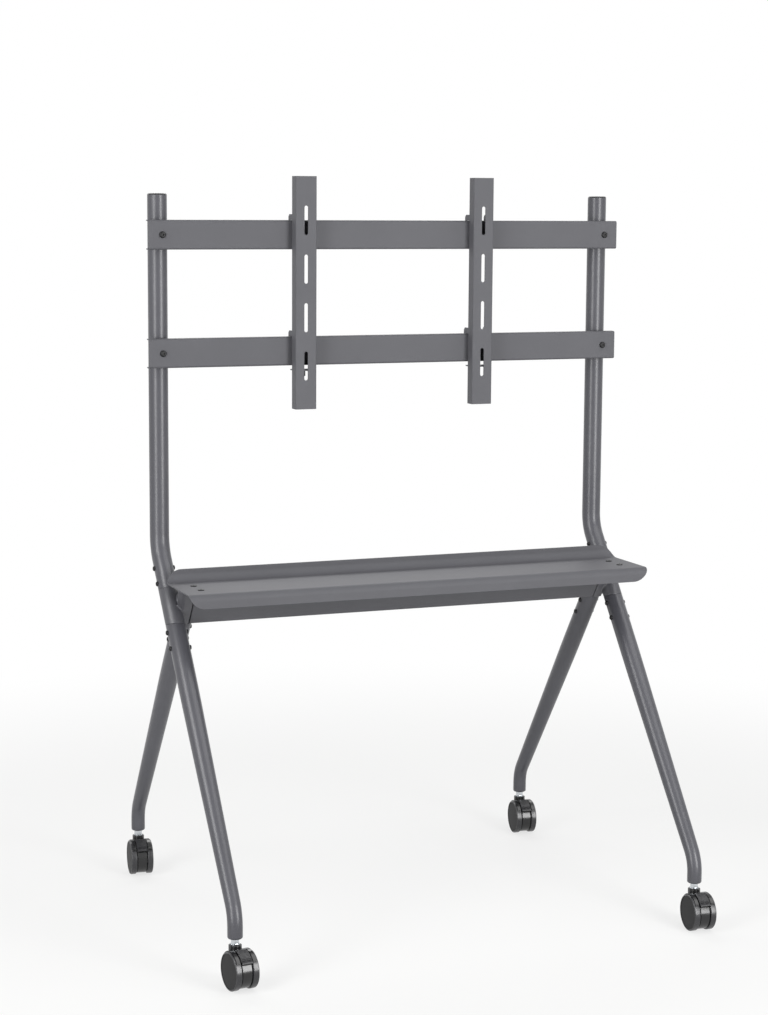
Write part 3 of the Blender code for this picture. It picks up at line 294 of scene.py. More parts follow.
def added(bm, other, index=0):
    # The shape of another bmesh, put into this one with its own finish; the other is freed.
    for face in other.faces:
        face.material_index = index
    mesh = bpy.data.meshes.new("added")
    other.to_mesh(mesh)
    other.free()
    bm.from_mesh(mesh)
    bpy.data.meshes.remove(mesh)


def asMesh(bm, name, weld=False):
    if weld:
        bmesh.ops.remove_doubles(bm, verts=bm.verts, dist=small)
    bmesh.ops.recalc_face_normals(bm, faces=bm.faces)
    mesh = bpy.data.meshes.new(name)
    bm.to_mesh(mesh)
    bm.free()
    return mesh


def asObject(data):
    item = bpy.data.objects.new(data.name, data)
    bpy.context.collection.objects.link(item)
    return item


def evaluated(item, tools=()):
    # What an object's modifiers make of it, as a new bmesh; the object and its tools go.
    graph = bpy.context.evaluated_depsgraph_get()
    mesh = bpy.data.meshes.new_from_object(item.evaluated_get(graph))
    bm = bmesh.new()
    bm.from_mesh(mesh)
    bpy.data.meshes.remove(mesh)
    for used in (item, *tools):
        bpy.data.objects.remove(used, do_unlink=True)
    bmesh.ops.remove_doubles(bm, verts=bm.verts, dist=small)
    return bm


def combined(base, steps):
    item = asObject(asMesh(base, "base"))
    tools = []
    for operation, bm in steps:
        tools.append(asObject(asMesh(bm, "tool")))
        modifier = item.modifiers.new("combined", "BOOLEAN")
        modifier.operation = operation
        modifier.solver = "EXACT"
        modifier.object = tools[-1]
    bm = evaluated(item, tools)
    bmesh.ops.dissolve_limit(bm, angle_limit=math.radians(0.5), verts=bm.verts, edges=bm.edges)
    return bm


def published(name, bm, *place, weld=True, **look):
    placedPiece(name, asMesh(bm, name, weld), *place, **look)


def placedPiece(name, mesh, body, nodes, slotName, materials, smoothAngle=35.0, flats=True):
    for material in materials:
        mesh.materials.append(coats[material])
    mesh.shade_smooth()
    mesh.set_sharp_from_angle(angle=math.radians(smoothAngle))
    item = asObject(mesh)
    item.name = name
    if flats:  # the broad faces keep their own normals beside eased edges
        item.modifiers.new("evenFlats", "WEIGHTED_NORMAL").keep_sharp = True
    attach(item, body)
    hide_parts(*nodes)


def placedCopy(name, pattern, matrix, *settings):
    mesh = pattern.copy()
    mesh.transform(matrix)
    placedPiece(name, mesh, *settings)


# Tubes

def makeUpright(side, hand):
    top, corner = (uprightPoint(side, stand[key]) for key in ("topZ", "bendZ"))
    low = frontPoint(side, stand["upperSeamZ"], -tubeRadius)
    path = [top, *roundBend(top, corner, low, stand["bendRadius"], stand["bendSteps"]), low]
    bm = sweptRod(path, [tubeRadius] * len(path))
    trimmed(bm, frontPoint(side, stand["upperSeamZ"]) + Vector((0, 0, gap / 2)),
            -seamNormal(stand["seamTilt"]), stand["upperSeamBevel"])
    published(f"uprightTube_{hand}", bm, "frame", [f"upright_{hand}"], "painted_tube", ["powderCoat"],
              flats=False)


def legRadius(z):
    share = (stand["taperTopZ"] - z) / (stand["taperTopZ"] - stand["footCornerZ"])
    return tubeRadius + (stand["footRadius"] - tubeRadius) * min(1.0, max(0.0, share))


def makeLeg(side, hand, end):
    point = frontPoint if end == "front" else rearPoint
    seamZ = stand["lowerSeamZ"] if end == "front" else stand["rearSeamZ"]
    tilt = stand["seamTilt"] if end == "front" else 0.0
    corner = point(side, stand["footCornerZ"])
    head = point(side, seamZ, tubeRadius)
    foot = Vector((corner.x, corner.y, stand["footEndZ"]))
    turn = roundBend(head, corner, foot, stand["footBendRadius"], stand["footBendSteps"])
    blend, edge, steps = stand["taperBlend"], stand["footRounding"], stand["footRoundingSteps"]
    path = [head, point(side, stand["taperTopZ"] + blend), point(side, stand["taperTopZ"] - blend), *turn]
    radii = [legRadius(place.z) for place in path]
    for i in range(steps + 1):  # the foot's end is rolled in
        angle = 90 * i / steps
        path.append(foot + Vector((0, 0, edge * (1 - sin(angle)))))
        radii.append(stand["footRadius"] - edge * (1 - cos(angle)))
    bm = sweptRod(path, radii)
    trimmed(bm, point(side, seamZ) - Vector((0, 0, gap / 2)), seamNormal(tilt), stand["seamBevel"])
    published(f"legTube_{end}_{hand}", bm, "frame", [f"leg_{end}_{hand}"], "painted_tube", ["powderCoat"],
              flats=False)


plug = {"thickness": 0.003, "depth": 0.014, "clearance": 0.0026,
        # how far in from the tube's radius, and how far down from the crown or up from the foot
        "crown": ((0.0090, 0.00005), (0.0030, 0.0003), (0.0016, 0.0008), (0.0006, 0.0017)),
        "foot": ((0.0001, 0.0004), (0.0003, 0.0))}


def makePlug(side, hand):
    high = gap + plug["thickness"]
    inner = tubeRadius - plug["clearance"]
    profile = [(0.0, high), *((tubeRadius - inset, high - drop) for inset, drop in plug["crown"])]
    profile += [(tubeRadius - inset, gap + rise) for inset, rise in plug["foot"]]
    profile += [(inner, gap), (inner, -plug["depth"]), (0.0, -plug["depth"])]
    bm = turned(profile, stand["tubeSides"], Matrix.Translation(uprightPoint(side, stand["topZ"])))
    published(f"topPlug_{hand}", bm, "frame", [f"cap_{hand}"], "cap_plastic", ["mattePlug"])


for side, hand in sides:
    makeUpright(side, hand)
    makePlug(side, hand)
    for end in ("front", "rear"):
        makeLeg(side, hand, end)
print("tubes made")


# Cast knuckles

knuckle = {
    "webHalfDepth": 0.022, "flangeOuterX": 0.504, "flangeDepth": 0.009, "flangeTaper": 11.0,
    "flangeRunOut": 0.012, "flangeBevel": 0.0006, "coreX": 0.485,
    "partingX": 0.4645, "tongueFront": 0.212, "tongueThickness": 0.012, "tongueX": 0.487,
    # The cast skin over all: its grid, the rounds that soften its inner corners, how far it stops short of
    # the machined seams, how far it rises over the rear leg, and its rims
    "voxel": 0.0010, "smoothing": 40, "skinInset": 0.0012, "skinRise": 0.0002, "skinBevel": 0.0002,
    "blendX": 0.484, "blendZ": 0.652, "blending": 14,  # the flange's end is run out onto the sleeve
}


def webFrontY(z):
    return rearY(z) - knuckle["webHalfDepth"] / cos(stand["rearLean"])


def webRearY(z):
    return rearY(z) + knuckle["webHalfDepth"] / cos(stand["rearLean"])


def sleeve(side, inset, topBevel, lowBevel):
    bm = pin(frontPoint(side, stand["upperSeamZ"], tubeRadius),
             frontPoint(side, stand["lowerSeamZ"], -tubeRadius), tubeRadius)
    normal = seamNormal(stand["seamTilt"])
    room = Vector((0, 0, gap / 2 + inset))
    trimmed(bm, frontPoint(side, stand["upperSeamZ"]) - room, normal, topBevel)
    trimmed(bm, frontPoint(side, stand["lowerSeamZ"]) + room, -normal, lowBevel)
    return bm


def rearSleeve(side, low):
    bm = pin(rearPoint(side, stand["upperSeamZ"]), rearPoint(side, stand["rearSeamZ"], -tubeRadius),
             tubeRadius + knuckle["skinRise"])
    trimmed(bm, Vector((0, 0, low)), Vector((0, 0, -1)), knuckle["skinBevel"])
    return bm


def roughCasting(side, lowZ, innerX):
    # Flange, web and tongue as blocks, with the two sleeves through them.
    topZ = underShelfZ

    def webOutline(depth):
        back = depth / cos(stand["rearLean"])
        return ((webFrontY(lowZ), lowZ), (webFrontY(lowZ) + back, lowZ), (webFrontY(topZ) + back, topZ),
                (webFrontY(topZ), topZ))

    flangeX, depth = knuckle["flangeOuterX"], knuckle["flangeDepth"]
    runOut, bevel = knuckle["flangeRunOut"], knuckle["flangeBevel"]
    cast = prism(webOutline(depth), "X", innerX, side * flangeX)
    outward = Vector((side * cos(knuckle["flangeTaper"]), 0, -sin(knuckle["flangeTaper"])))
    forward = Vector((0, -cos(stand["rearLean"]), -sin(stand["rearLean"])))
    trimmed(cast, Vector((side * flangeX, 0, topZ)), outward, bevel)
    trimmed(cast, Vector((side * (flangeX - runOut), webFrontY(topZ), topZ)),
            outward * depth + forward * runOut, bevel)
    added(cast, prism(webOutline(2 * knuckle["webHalfDepth"]), "X", innerX, side * knuckle["coreX"]))
    rear = webRearY(topZ) - tubeRadius
    front = stand["uprightY"] - knuckle["tongueFront"]
    under = topZ - knuckle["tongueThickness"]
    nose = knuckle["tongueThickness"] / 2
    tongue = ((rear, topZ), (front, topZ), (front, topZ - nose), (front + nose, under), (rear, under))
    added(cast, prism(tongue, "X", innerX, side * knuckle["tongueX"]))
    added(cast, sleeve(side, knuckle["skinInset"], knuckle["skinBevel"], knuckle["skinBevel"]))
    added(cast, rearSleeve(side, lowZ))
    return cast


def castSkin(cast):
    # One skin over the blocks, its inner corners softened as a mould's are.
    item = asObject(asMesh(cast, "casting"))
    remesh = item.modifiers.new("cast skin", "REMESH")
    remesh.mode = "VOXEL"
    remesh.voxel_size = knuckle["voxel"]
    smooth = item.modifiers.new("cast radii", "SMOOTH")
    smooth.factor = 0.5
    smooth.iterations = knuckle["smoothing"]
    return evaluated(item)


def makeKnuckle(side, hand):
    lowZ = stand["rearSeamZ"] + gap / 2
    innerX = side * (knuckle["partingX"] + gap / 2)
    bm = castSkin(roughCasting(side, lowZ, innerX))
    end = [vert for vert in bm.verts
           if side * vert.co.x > knuckle["blendX"] and vert.co.z > knuckle["blendZ"]]
    for _ in range(knuckle["blending"]):
        bmesh.ops.smooth_vert(bm, verts=end, factor=0.5, use_axis_x=True, use_axis_y=True, use_axis_z=True)
    for vert in bm.verts:  # the skin may not pass the parting plane or the shelf's underside
        vert.co.z = min(underShelfZ, max(lowZ, vert.co.z))
        vert.co.x = side * max(side * innerX, side * vert.co.x)
    added(bm, sleeve(side, 0.0, stand["upperSeamBevel"], stand["seamBevel"]))
    published(f"castKnuckle_{hand}", bm, "frame", [f"knuckle_{hand}"], "painted_casting", ["castPowderCoat"],
              smoothAngle=40.0, weld=False, flats=False)


for side, hand in sides:
    makeKnuckle(side, hand)
print("knuckles cast")


# Screws

screwForm = {"crownShare": 1.35, "domeSteps": 5, "mouth": 0.0002, "headSides": 24, "shankSides": 16}


def socketHead(matrix, screw):
    # A domed head from its seat at z = 0 upwards, with a hexagon socket.
    radius, height, socket, edge = (screw[key] for key in ("radius", "height", "socket", "edge"))
    crown = socket * screwForm["crownShare"]
    profile = [(radius, 0.0)]
    for i in range(screwForm["domeSteps"] + 1):
        angle = 90 * i / screwForm["domeSteps"]
        profile.append((crown + (radius - crown) * cos(angle), edge + (height - edge) * sin(angle)))
    head = turned(profile, screwForm["headSides"])
    rims = [rim for rim in head.edges if rim.is_boundary]
    seat = [rim for rim in rims if rim.verts[0].co.z < height / 2]
    bmesh.ops.edgeloop_fill(head, edges=seat)
    bmesh.ops.create_circle(head, segments=6, radius=socket,
                            matrix=Matrix.Translation((0, 0, height - screwForm["mouth"])))
    hexagon = [edge for edge in head.edges if edge.is_wire]
    bmesh.ops.bridge_loops(head, edges=[rim for rim in rims if rim not in seat] + hexagon)
    moved = bmesh.ops.extrude_edge_only(head, edges=hexagon)["geom"]
    bmesh.ops.translate(head, vec=(0, 0, -screw["depth"]), verts=only(BMVert, moved))
    bmesh.ops.edgeloop_fill(head, edges=only(BMEdge, moved))
    bmesh.ops.transform(head, matrix=matrix, verts=head.verts)
    return head


throughBolt = {"radius": 0.00525, "height": 0.0033, "edge": 0.0006, "socket": 0.0021, "depth": 0.0018,
               "sink": 0.0004, "shank": 0.003, "pitch": 0.036,
               # how far the first bolt is from the seam: up the upright, down each leg
               "margins": {"upright": 0.0125, "front": -0.018, "rear": -0.0135}}


def makeThroughBolts():
    seat = tubeRadius + gap
    rise = Matrix.Translation((0, 0, seat - throughBolt["sink"]))
    bm = socketHead(turnMatrix(90, "Y") @ rise, throughBolt)
    added(bm, socketHead(turnMatrix(-90, "Y") @ rise, throughBolt))
    end = Vector((seat, 0, 0))
    added(bm, pin(-end, end, throughBolt["shank"], screwForm["shankSides"]))
    pattern = asMesh(bm, "throughBolt")
    seams = {"upright": (frontPoint, stand["upperSeamZ"]), "front": (frontPoint, stand["lowerSeamZ"]),
             "rear": (rearPoint, stand["rearSeamZ"])}
    for side, hand in sides:
        for number in range(2):
            for kind, margin in throughBolt["margins"].items():
                point, seamZ = seams[kind]
                along = margin + math.copysign(throughBolt["pitch"], margin) * number
                placedCopy(f"buttonBolt_{kind}_{hand}_{number + 1}", pattern,
                           Matrix.Translation(point(side, seamZ, along)), "frame",
                           [f"bolt_{kind}_{hand}_{number + 1}"], "black_screw", ["blackOxide"])


shelfScrew = {"radius": 0.0066, "height": 0.0022, "edge": 0.0010, "socket": 0.0024, "depth": 0.0014,
              "shank": 0.0035, "length": 0.016, "x": 0.471, "rear": 0.1438, "pitch": 0.051,
              "turns": (20, 45)}  # of the two sockets, as the spanner left them


def makeShelfScrews():
    for side, hand in sides:
        for number, turn in enumerate(shelfScrew["turns"]):
            y = stand["uprightY"] - shelfScrew["rear"] - shelfScrew["pitch"] * number
            place = Vector((side * shelfScrew["x"], y, stand["shelfTopZ"]))
            bm = socketHead(Matrix.Translation(place) @ turnMatrix(turn, "Z"), shelfScrew)
            added(bm, pin(place, place - Vector((0, 0, shelfScrew["length"])), shelfScrew["shank"],
                          screwForm["shankSides"]))
            published(f"shelfScrew_{hand}_{number + 1}", bm, "frame", [f"shelf_bolt_{hand}_{number + 1}"],
                      "black_screw", ["blackOxide"])


makeThroughBolts()
makeShelfScrews()
print("screws set")


# Folded sheet

def foldStations(corners, sheet, innerRadii, steps):
    # Where the middle of the sheet runs: (distance in the flat, point, direction).
    points = [Vector(corner) for corner in corners]
    stations = [(0.0, points[0], (points[1] - points[0]).normalized())]
    for before, corner, after, innerRadius in zip(points, points[1:], points[2:], innerRadii):
        radius = innerRadius + sheet / 2
        into = (corner - before).normalized()
        out = (after - corner).normalized()
        turn = math.atan2(into.x * out.y - into.y * out.x, into.dot(out))
        reach = radius * math.tan(abs(turn) / 2)
        start = corner - into * reach
        inward = Vector((-into.y, into.x)) * (1 if turn > 0 else -1)
        centre = start + inward * radius
        flat = stations[-1][0] + (start - stations[-1][1]).length
        for i in range(steps + 1):
            angle = turn * i / steps
            spin = Matrix(((math.cos(angle), -math.sin(angle)), (math.sin(angle), math.cos(angle))))
            stations.append((flat + abs(angle) * radius, centre + spin @ (start - centre), spin @ into))
    last = points[-1]
    stations.append((stations[-1][0] + (last - stations[-1][1]).length, last, stations[-1][2]))
    return stations


def foldedSheet(halfLength, corners, sheet, innerRadii, cornerRadius=0.0, steps=6, rim=0.0004):
    # A blank cut and eased in the flat, then bent over its fold lines, lying along X.
    stations = foldStations(corners, sheet, innerRadii, steps)
    width = stations[-1][0]
    bm = block((-halfLength, 0.0, -sheet / 2), (halfLength, width, sheet / 2))
    if cornerRadius:
        upright = [edge for edge in bm.edges if abs(edge.verts[0].co.z - edge.verts[1].co.z) > small]
        eased(bm, upright, cornerRadius, segments=12)
    bmesh.ops.recalc_face_normals(bm, faces=bm.faces)
    easedSharp(bm, rim, angle=60.0)
    for flat, _, _ in stations[1:-1]:
        sliced(bm, (0, flat, 0), (0, 1, 0))
    for vert in bm.verts:
        flat = min(width, max(0.0, vert.co.y))
        for (s0, p0, d0), (s1, p1, d1) in zip(stations, stations[1:]):
            if flat <= s1 + small:
                break
        share = (flat - s0) / (s1 - s0)
        point = p0.lerp(p1, share)
        way = d0.lerp(d1, share).normalized()
        vert.co = (vert.co.x, point.x - way.y * vert.co.z, point.y + way.x * vert.co.z)
    return bm


shelf = {"halfLength": 0.5115, "rear": 0.081, "front": 0.250, "rearLip": 0.026, "frontLip": 0.029,
         "foldRadii": (0.0175, 0.0115), "foldSteps": 12, "cornerRadius": 0.034}


def makeShelf():
    sheet = stand["shelfSheet"]
    middleZ = stand["shelfTopZ"] - sheet / 2
    rear = stand["uprightY"] - shelf["rear"] - sheet / 2
    front = stand["uprightY"] - shelf["front"] + sheet / 2
    corners = ((rear, stand["shelfTopZ"] + shelf["rearLip"]), (rear, middleZ), (front, middleZ),
               (front, stand["shelfTopZ"] - shelf["frontLip"]))
    bm = foldedSheet(shelf["halfLength"], corners, sheet, shelf["foldRadii"], shelf["cornerRadius"],
                     shelf["foldSteps"])
    published("foldedShelf", bm, "frame", ["shelf"], "painted_sheet", ["powderCoatSheet"], smoothAngle=30.0)


beam = {"bottomZ": 0.6285, "sheet": 0.003, "foldRadius": 0.002, "wallDrop": 0.001, "endPlate": 0.006,
        "plateBevel": 0.0006, "groove": 0.0016, "grooveDepth": 0.005, "boltHeights": (0.660, 0.692),
        "bolt": {"radius": 0.0065, "height": 0.005, "edge": 0.0035, "socket": 0.003, "depth": 0.003}}


def makeCrossbeam():
    def section(inset, low, top):
        # The tray's four corners, from the front wall's top to the rear wall's.
        return ((webFrontY(underShelfZ) + inset, top), (webFrontY(low) + inset, low),
                (webRearY(low) - inset, low), (webRearY(underShelfZ) - inset, top))

    length = knuckle["partingX"] - gap / 2
    plateX, step = length - beam["endPlate"], length - beam["groove"]
    tray = section(beam["sheet"] / 2 / cos(stand["rearLean"]), beam["bottomZ"] + beam["sheet"] / 2,
                   underShelfZ - beam["wallDrop"])
    bm = foldedSheet(length - beam["endPlate"] / 2, tray, beam["sheet"], (beam["foldRadius"],) * 2)
    for side, _ in sides:
        for inset, start, end in ((0.0, plateX, step), (beam["grooveDepth"], step - gap, length)):
            added(bm, easedPrism(section(inset, beam["bottomZ"] + inset, underShelfZ), "X", side * start,
                                 side * end, beam["plateBevel"]))
        for z in beam["boltHeights"]:
            place = Matrix.Translation((side * plateX, rearY(z), z))
            added(bm, socketHead(place @ turnMatrix(-90 * side, "Y"), beam["bolt"]), 1)
    published("foldedCrossbeam", bm, "frame", ["crossbeam"], "painted_sheet",
              ["powderCoatSheet", "blackOxide"], smoothAngle=30.0)


makeShelf()
makeCrossbeam()
print("shelf and crossbeam folded")


# Hanger rails and arms

rail = {"heights": {"lower": 1.180, "upper": 1.420}, "halfLength": 0.530, "height": 0.060, "depth": 0.015,
        "sheet": 0.0025, "standoff": 0.018, "foldRadius": 0.002, "wrap": 0.008,
        "saddleHalfWidth": 0.018, "saddleHalfHeight": 0.024, "saddleSteps": 12, "saddleBevel": 0.0005,
        "bolt": {"radius": 0.0068, "height": 0.004, "edge": 0.0012, "socket": 0.0025, "depth": 0.0022},
        "shank": 0.004, "shankEnd": 0.0070,
        # the nut's rings: how far behind the tube, and how wide
        "nut": ((0.0, 0.0067), (0.0005, 0.0072), (0.0058, 0.0072), (0.0064, 0.0064))}
railFront = stand["uprightY"] - tubeRadius - rail["standoff"]
lockY = railFront + rail["depth"] / 2


def saddle(side, z, front):
    # It fills the room between rail and tube, and wraps the tube's front.
    radius = tubeRadius + gap
    half, steps = rail["saddleHalfWidth"], rail["saddleSteps"]
    tip = stand["uprightY"] - tubeRadius + rail["wrap"]
    end = math.degrees(math.acos((stand["uprightY"] - tip) / radius))
    outline = [(-half, front), (half, front), (half, tip)]
    outline += [(radius * sin(end * i / steps), stand["uprightY"] - radius * cos(end * i / steps))
                for i in range(steps, -steps - 1, -1)]
    outline += [(-half, tip)]
    return easedPrism([(side * stand["uprightX"] + x, y) for x, y in outline], "Z",
                      z - rail["saddleHalfHeight"], z + rail["saddleHalfHeight"], rail["saddleBevel"], 40.0)


def makeRail(level, z):
    half = rail["sheet"] / 2
    front, rear = railFront + half, railFront + rail["depth"]
    low, high = z - rail["height"] / 2 + half, z + rail["height"] / 2 - half
    bm = foldedSheet(rail["halfLength"], ((rear, low), (front, low), (front, high), (rear, high)),
                     rail["sheet"], (rail["foldRadius"],) * 2)
    for side, hand in sides:
        added(bm, saddle(side, z, front))
        makeRailBolt(level, hand, uprightPoint(side, z))
    published(f"hangerRail_{level}", bm, "frame", [f"rail_{level}"], "painted_sheet", ["powderCoatSheet"],
              smoothAngle=30.0)


def makeRailBolt(level, hand, centre):
    backward = Vector((0, 1, 0))
    front = centre - backward * (tubeRadius + rail["standoff"] + gap / 2)
    back = centre + backward * (tubeRadius + gap / 2)
    bm = socketHead(Matrix.Translation(front) @ turnMatrix(90, "X"), rail["bolt"])
    added(bm, lofted([ringMatrix(back + backward * y, backward, radius) for y, radius in rail["nut"]], 6))
    added(bm, pin(front, back + backward * rail["shankEnd"], rail["shank"], screwForm["shankSides"]))
    published(f"railBolt_{level}_{hand}", bm, "frame", [f"rail_bolt_{level}_{hand}"], "black_screw",
              ["blackOxide"])


arm = {"x": 0.200, "rise": 0.090, "width": 0.046, "depth": 0.024, "sheet": 0.0025,
       "foldRadius": 0.0032, "foldSteps": 6, "rim": 0.0004,
       "hookRise": 0.012, "hookDrop": 0.008, "hookTip": 0.007, "hookSide": 0.6, "hookCrown": 0.3,
       "slotWidth": 0.008, "slotLength": 0.060, "slotPitch": 0.100, "slotCount": 4, "slotRoom": 0.002,
       "tabGap": 0.008, "tabReach": 0.0063,
       "knobRadius": 0.009, "knobHeight": 0.012, "knobDrop": 0.01475, "knobBevel": 0.0009,
       "grooves": 18, "grooveDepth": 0.0007, "screwRadius": 0.003, "screwSides": 24}


def armSideOutline(front, back, low, high):
    outline = [(front, low), (back, low)]
    start = railFront + rail["depth"] + gap
    tip = start + arm["hookTip"]
    for z in rail["heights"].values():
        foot = z + rail["height"] / 2 + gap
        end, top = foot - arm["hookDrop"], foot + arm["hookRise"]
        outline += [(back, foot), (start, foot), (start, end), (tip, end),
                    (tip, foot + arm["hookRise"] * arm["hookSide"]),
                    (start + arm["hookTip"] * arm["hookCrown"], top), (back, top)]
    return outline + [(back, high), (front, high)]


def armBlank(x, front, back, low, high, tabTop):
    # The channel with hooked flanges, the lock screw's tab and the slots, its edges still sharp.
    half, sheet = arm["width"] / 2, arm["sheet"]
    steps = [("UNION", prism(armSideOutline(front, back, low, high), "X", x + edge * half,
                             x + edge * (half - sheet))) for edge in (-1, 1)]
    steps.append(("UNION", block((x - half + sheet / 2, front + sheet / 2, tabTop - sheet),
                                 (x + half - sheet / 2, lockY + arm["tabReach"], tabTop))))
    radius = arm["slotWidth"] / 2
    reach = arm["slotLength"] / 2 - radius
    for i in range(arm["slotCount"]):
        z = (low + high) / 2 + arm["slotPitch"] * (i - (arm["slotCount"] - 1) / 2)
        outline = [(x + radius * cos(a), z + shift + radius * sin(a))
                   for shift, start in ((reach, 0), (-reach, 180)) for a in range(start, start + 181, 15)]
        steps.append(("DIFFERENCE", prism(outline, "Y", front - arm["slotRoom"], front + sheet * 2)))
    return combined(block((x - half, front, low), (x + half, front + sheet, high)), steps)


def knobOutline():
    # Two points in each groove and two on each ridge.
    count = 4 * arm["grooves"]
    radii = [arm["knobRadius"] - (arm["grooveDepth"] if i % 4 < 2 else 0.0) for i in range(count)]
    return [(r * cos(360 * i / count), r * sin(360 * i / count)) for i, r in enumerate(radii)]


def isLevel(edge):
    return abs(edge.verts[0].co.z - edge.verts[1].co.z) < small


def makeArm(side, hand):
    railLow, railHigh = (z + way * rail["height"] / 2 for way, z in zip((-1, 1), rail["heights"].values()))
    low, high = railLow - arm["rise"], railHigh + arm["rise"]
    back = railFront - gap
    front = back - arm["depth"]
    x = side * arm["x"]
    tabTop = railLow - arm["tabGap"]
    bm = armBlank(x, front, back, low, high, tabTop)

    def isFold(edge):
        a, b = (vert.co for vert in edge.verts)
        return (all(abs(end.y - front) < small for end in (a, b)) and abs(a.z - b.z) > arm["rise"]
                and abs(abs(a.x - x) - arm["width"] / 2) < small)
    eased(bm, [edge for edge in bm.edges if isFold(edge)], arm["foldRadius"], arm["foldSteps"])
    easedSharp(bm, arm["rim"], 50.0)
    knobLow = tabTop - arm["knobDrop"]
    knob = easedPrism(knobOutline(), "Z", knobLow, knobLow + arm["knobHeight"], arm["knobBevel"], 80.0, 3,
                      isLevel)
    bmesh.ops.translate(knob, vec=(x, lockY, 0), verts=knob.verts)
    added(bm, knob, 1)
    added(bm, pin(Vector((x, lockY, knobLow + arm["knobHeight"] / 2)), Vector((x, lockY, railLow - gap)),
                  arm["screwRadius"], arm["screwSides"]), 2)
    published(f"hangerArm_{hand}", bm, f"hanger_arm_{hand}", [f"hanger_arm_{hand}"], "painted_sheet",
              ["powderCoatSheet", "mattePlug", "zincPlate"], smoothAngle=30.0)


for level, z in rail["heights"].items():
    makeRail(level, z)
for side, hand in sides:
    makeArm(side, hand)
print("rails and arms made")


# Casters, each in its own frame: the swivel axis is x = y = 0 and they trail towards -Y.
# Angles about the axle count from the caster's front (0) over its top (90).

caster = {"trail": 0.022, "turns": {"front_left": 7.0, "front_right": -4.0, "rear_left": -6.0,
                                    "rear_right": -7.0}}
wheel = {
    "radius": 0.0375, "width": 0.0125, "gap": 0.0016, "steps": 96,
    # the outer face: shares of the radius, and depths in from the face
    "disc": ((0.0, 0.0002), (0.45, 0.0004), (0.80, 0.0007), (0.895, 0.0010)), "matteShare": 0.897,
    "rim": ((0.903, 0.0016), (0.918, 0.0016), (0.926, 0.0004), (0.942, 0.0)), "shoulder": 0.0018,
    # the inner face: how far in from the tread, and how far out from the face
    "inner": ((0.0, 0.0016), (0.0004, 0.0008), (0.0012, 0.0003), (0.0026, 0.0), (0.0075, 0.0),
              (0.0090, 0.0012), (0.0375, 0.0012)),
}
housing = {
    "drumRadius": 0.035, "drumHalf": 0.010, "drumBevel": 0.0007, "coreFront": 81.0, "coreRear": 148.0,
    "clearance": 0.0004, "sheet": 0.0015, "hoodHalf": 0.0208, "hoodBevel": 0.00045,
    "hoodFront": 36.0, "hoodRear": 152.0,
    "slotHalf": 0.0134, "slotRoom": 0.006, "slotFront": 28.0, "slotRear": 90.0, "slotBack": 80.0,
    "collarRadius": 0.0127, "collarTop": 0.0815, "collarBottom": 0.068, "collarBevel": 0.0006,
    "flutes": 8, "fluteDepth": 0.0009, "fluteSteps": 3, "fluteShare": 0.72,
}
axlePlace = Vector((0, -caster["trail"], wheel["radius"]))
hoodInner = wheel["radius"] + housing["clearance"]
hoodOuter = hoodInner + housing["sheet"]
coreRadius = hoodInner + housing["sheet"] / 3


def aboutAxle(radius, angle):
    return (-caster["trail"] - radius * cos(angle), wheel["radius"] + radius * sin(angle))


def arcAbout(radius, start, end, step=3.0):
    count = max(1, round(abs(end - start) / step))
    return [aboutAxle(radius, start + (end - start) * i / count) for i in range(count + 1)]


def wheelPattern():
    # A dished, matte disc inside a raised gloss rim, and a tread with round shoulders.
    r, w, shoulder = wheel["radius"], wheel["width"], wheel["shoulder"]
    profile = [(r * share, w - depth) for share, depth in wheel["disc"] + wheel["rim"]]
    profile += [(r - shoulder * (1 - sin(a)), w - shoulder * (1 - cos(a))) for a in range(0, 91, 15)]
    profile += [(r - inset, height) for inset, height in wheel["inner"]]
    bm = turned(profile, wheel["steps"], turnMatrix(90, "Y"))
    for face in bm.faces:
        middle = face.calc_center_median()
        matte = middle.x > w / 2 and math.hypot(middle.y, middle.z) < r * wheel["matteShare"]
        face.material_index = 0 if matte else 1
    return asMesh(bm, "wheel", weld=True)


def drum():
    outline = arcAbout(coreRadius, housing["coreFront"], housing["coreRear"])
    outline += arcAbout(housing["drumRadius"], housing["hoodRear"], 360 + housing["coreFront"])
    return easedPrism(outline, "X", -housing["drumHalf"], housing["drumHalf"], housing["drumBevel"], 60.0, 3)


def hood():
    # The shell over both wheels, with the slot that the pedal sits in.
    front, rear = housing["hoodFront"], housing["hoodRear"]
    outline = arcAbout(hoodOuter, front, rear, 2.0) + arcAbout(hoodInner, rear, front, 2.0)
    shell = prism(outline, "X", -housing["hoodHalf"], housing["hoodHalf"])
    front, rear, back = housing["slotFront"], housing["slotRear"], housing["slotBack"]
    outline = arcAbout(hoodOuter + housing["slotRoom"], front, rear) + arcAbout(coreRadius, rear, back)
    outline += arcAbout((housing["drumRadius"] + hoodInner) / 2, back, front)
    bm = combined(shell, [("DIFFERENCE", prism(outline, "X", -housing["slotHalf"], housing["slotHalf"]))])
    easedSharp(bm, housing["hoodBevel"], 40.0, 3)
    return bm


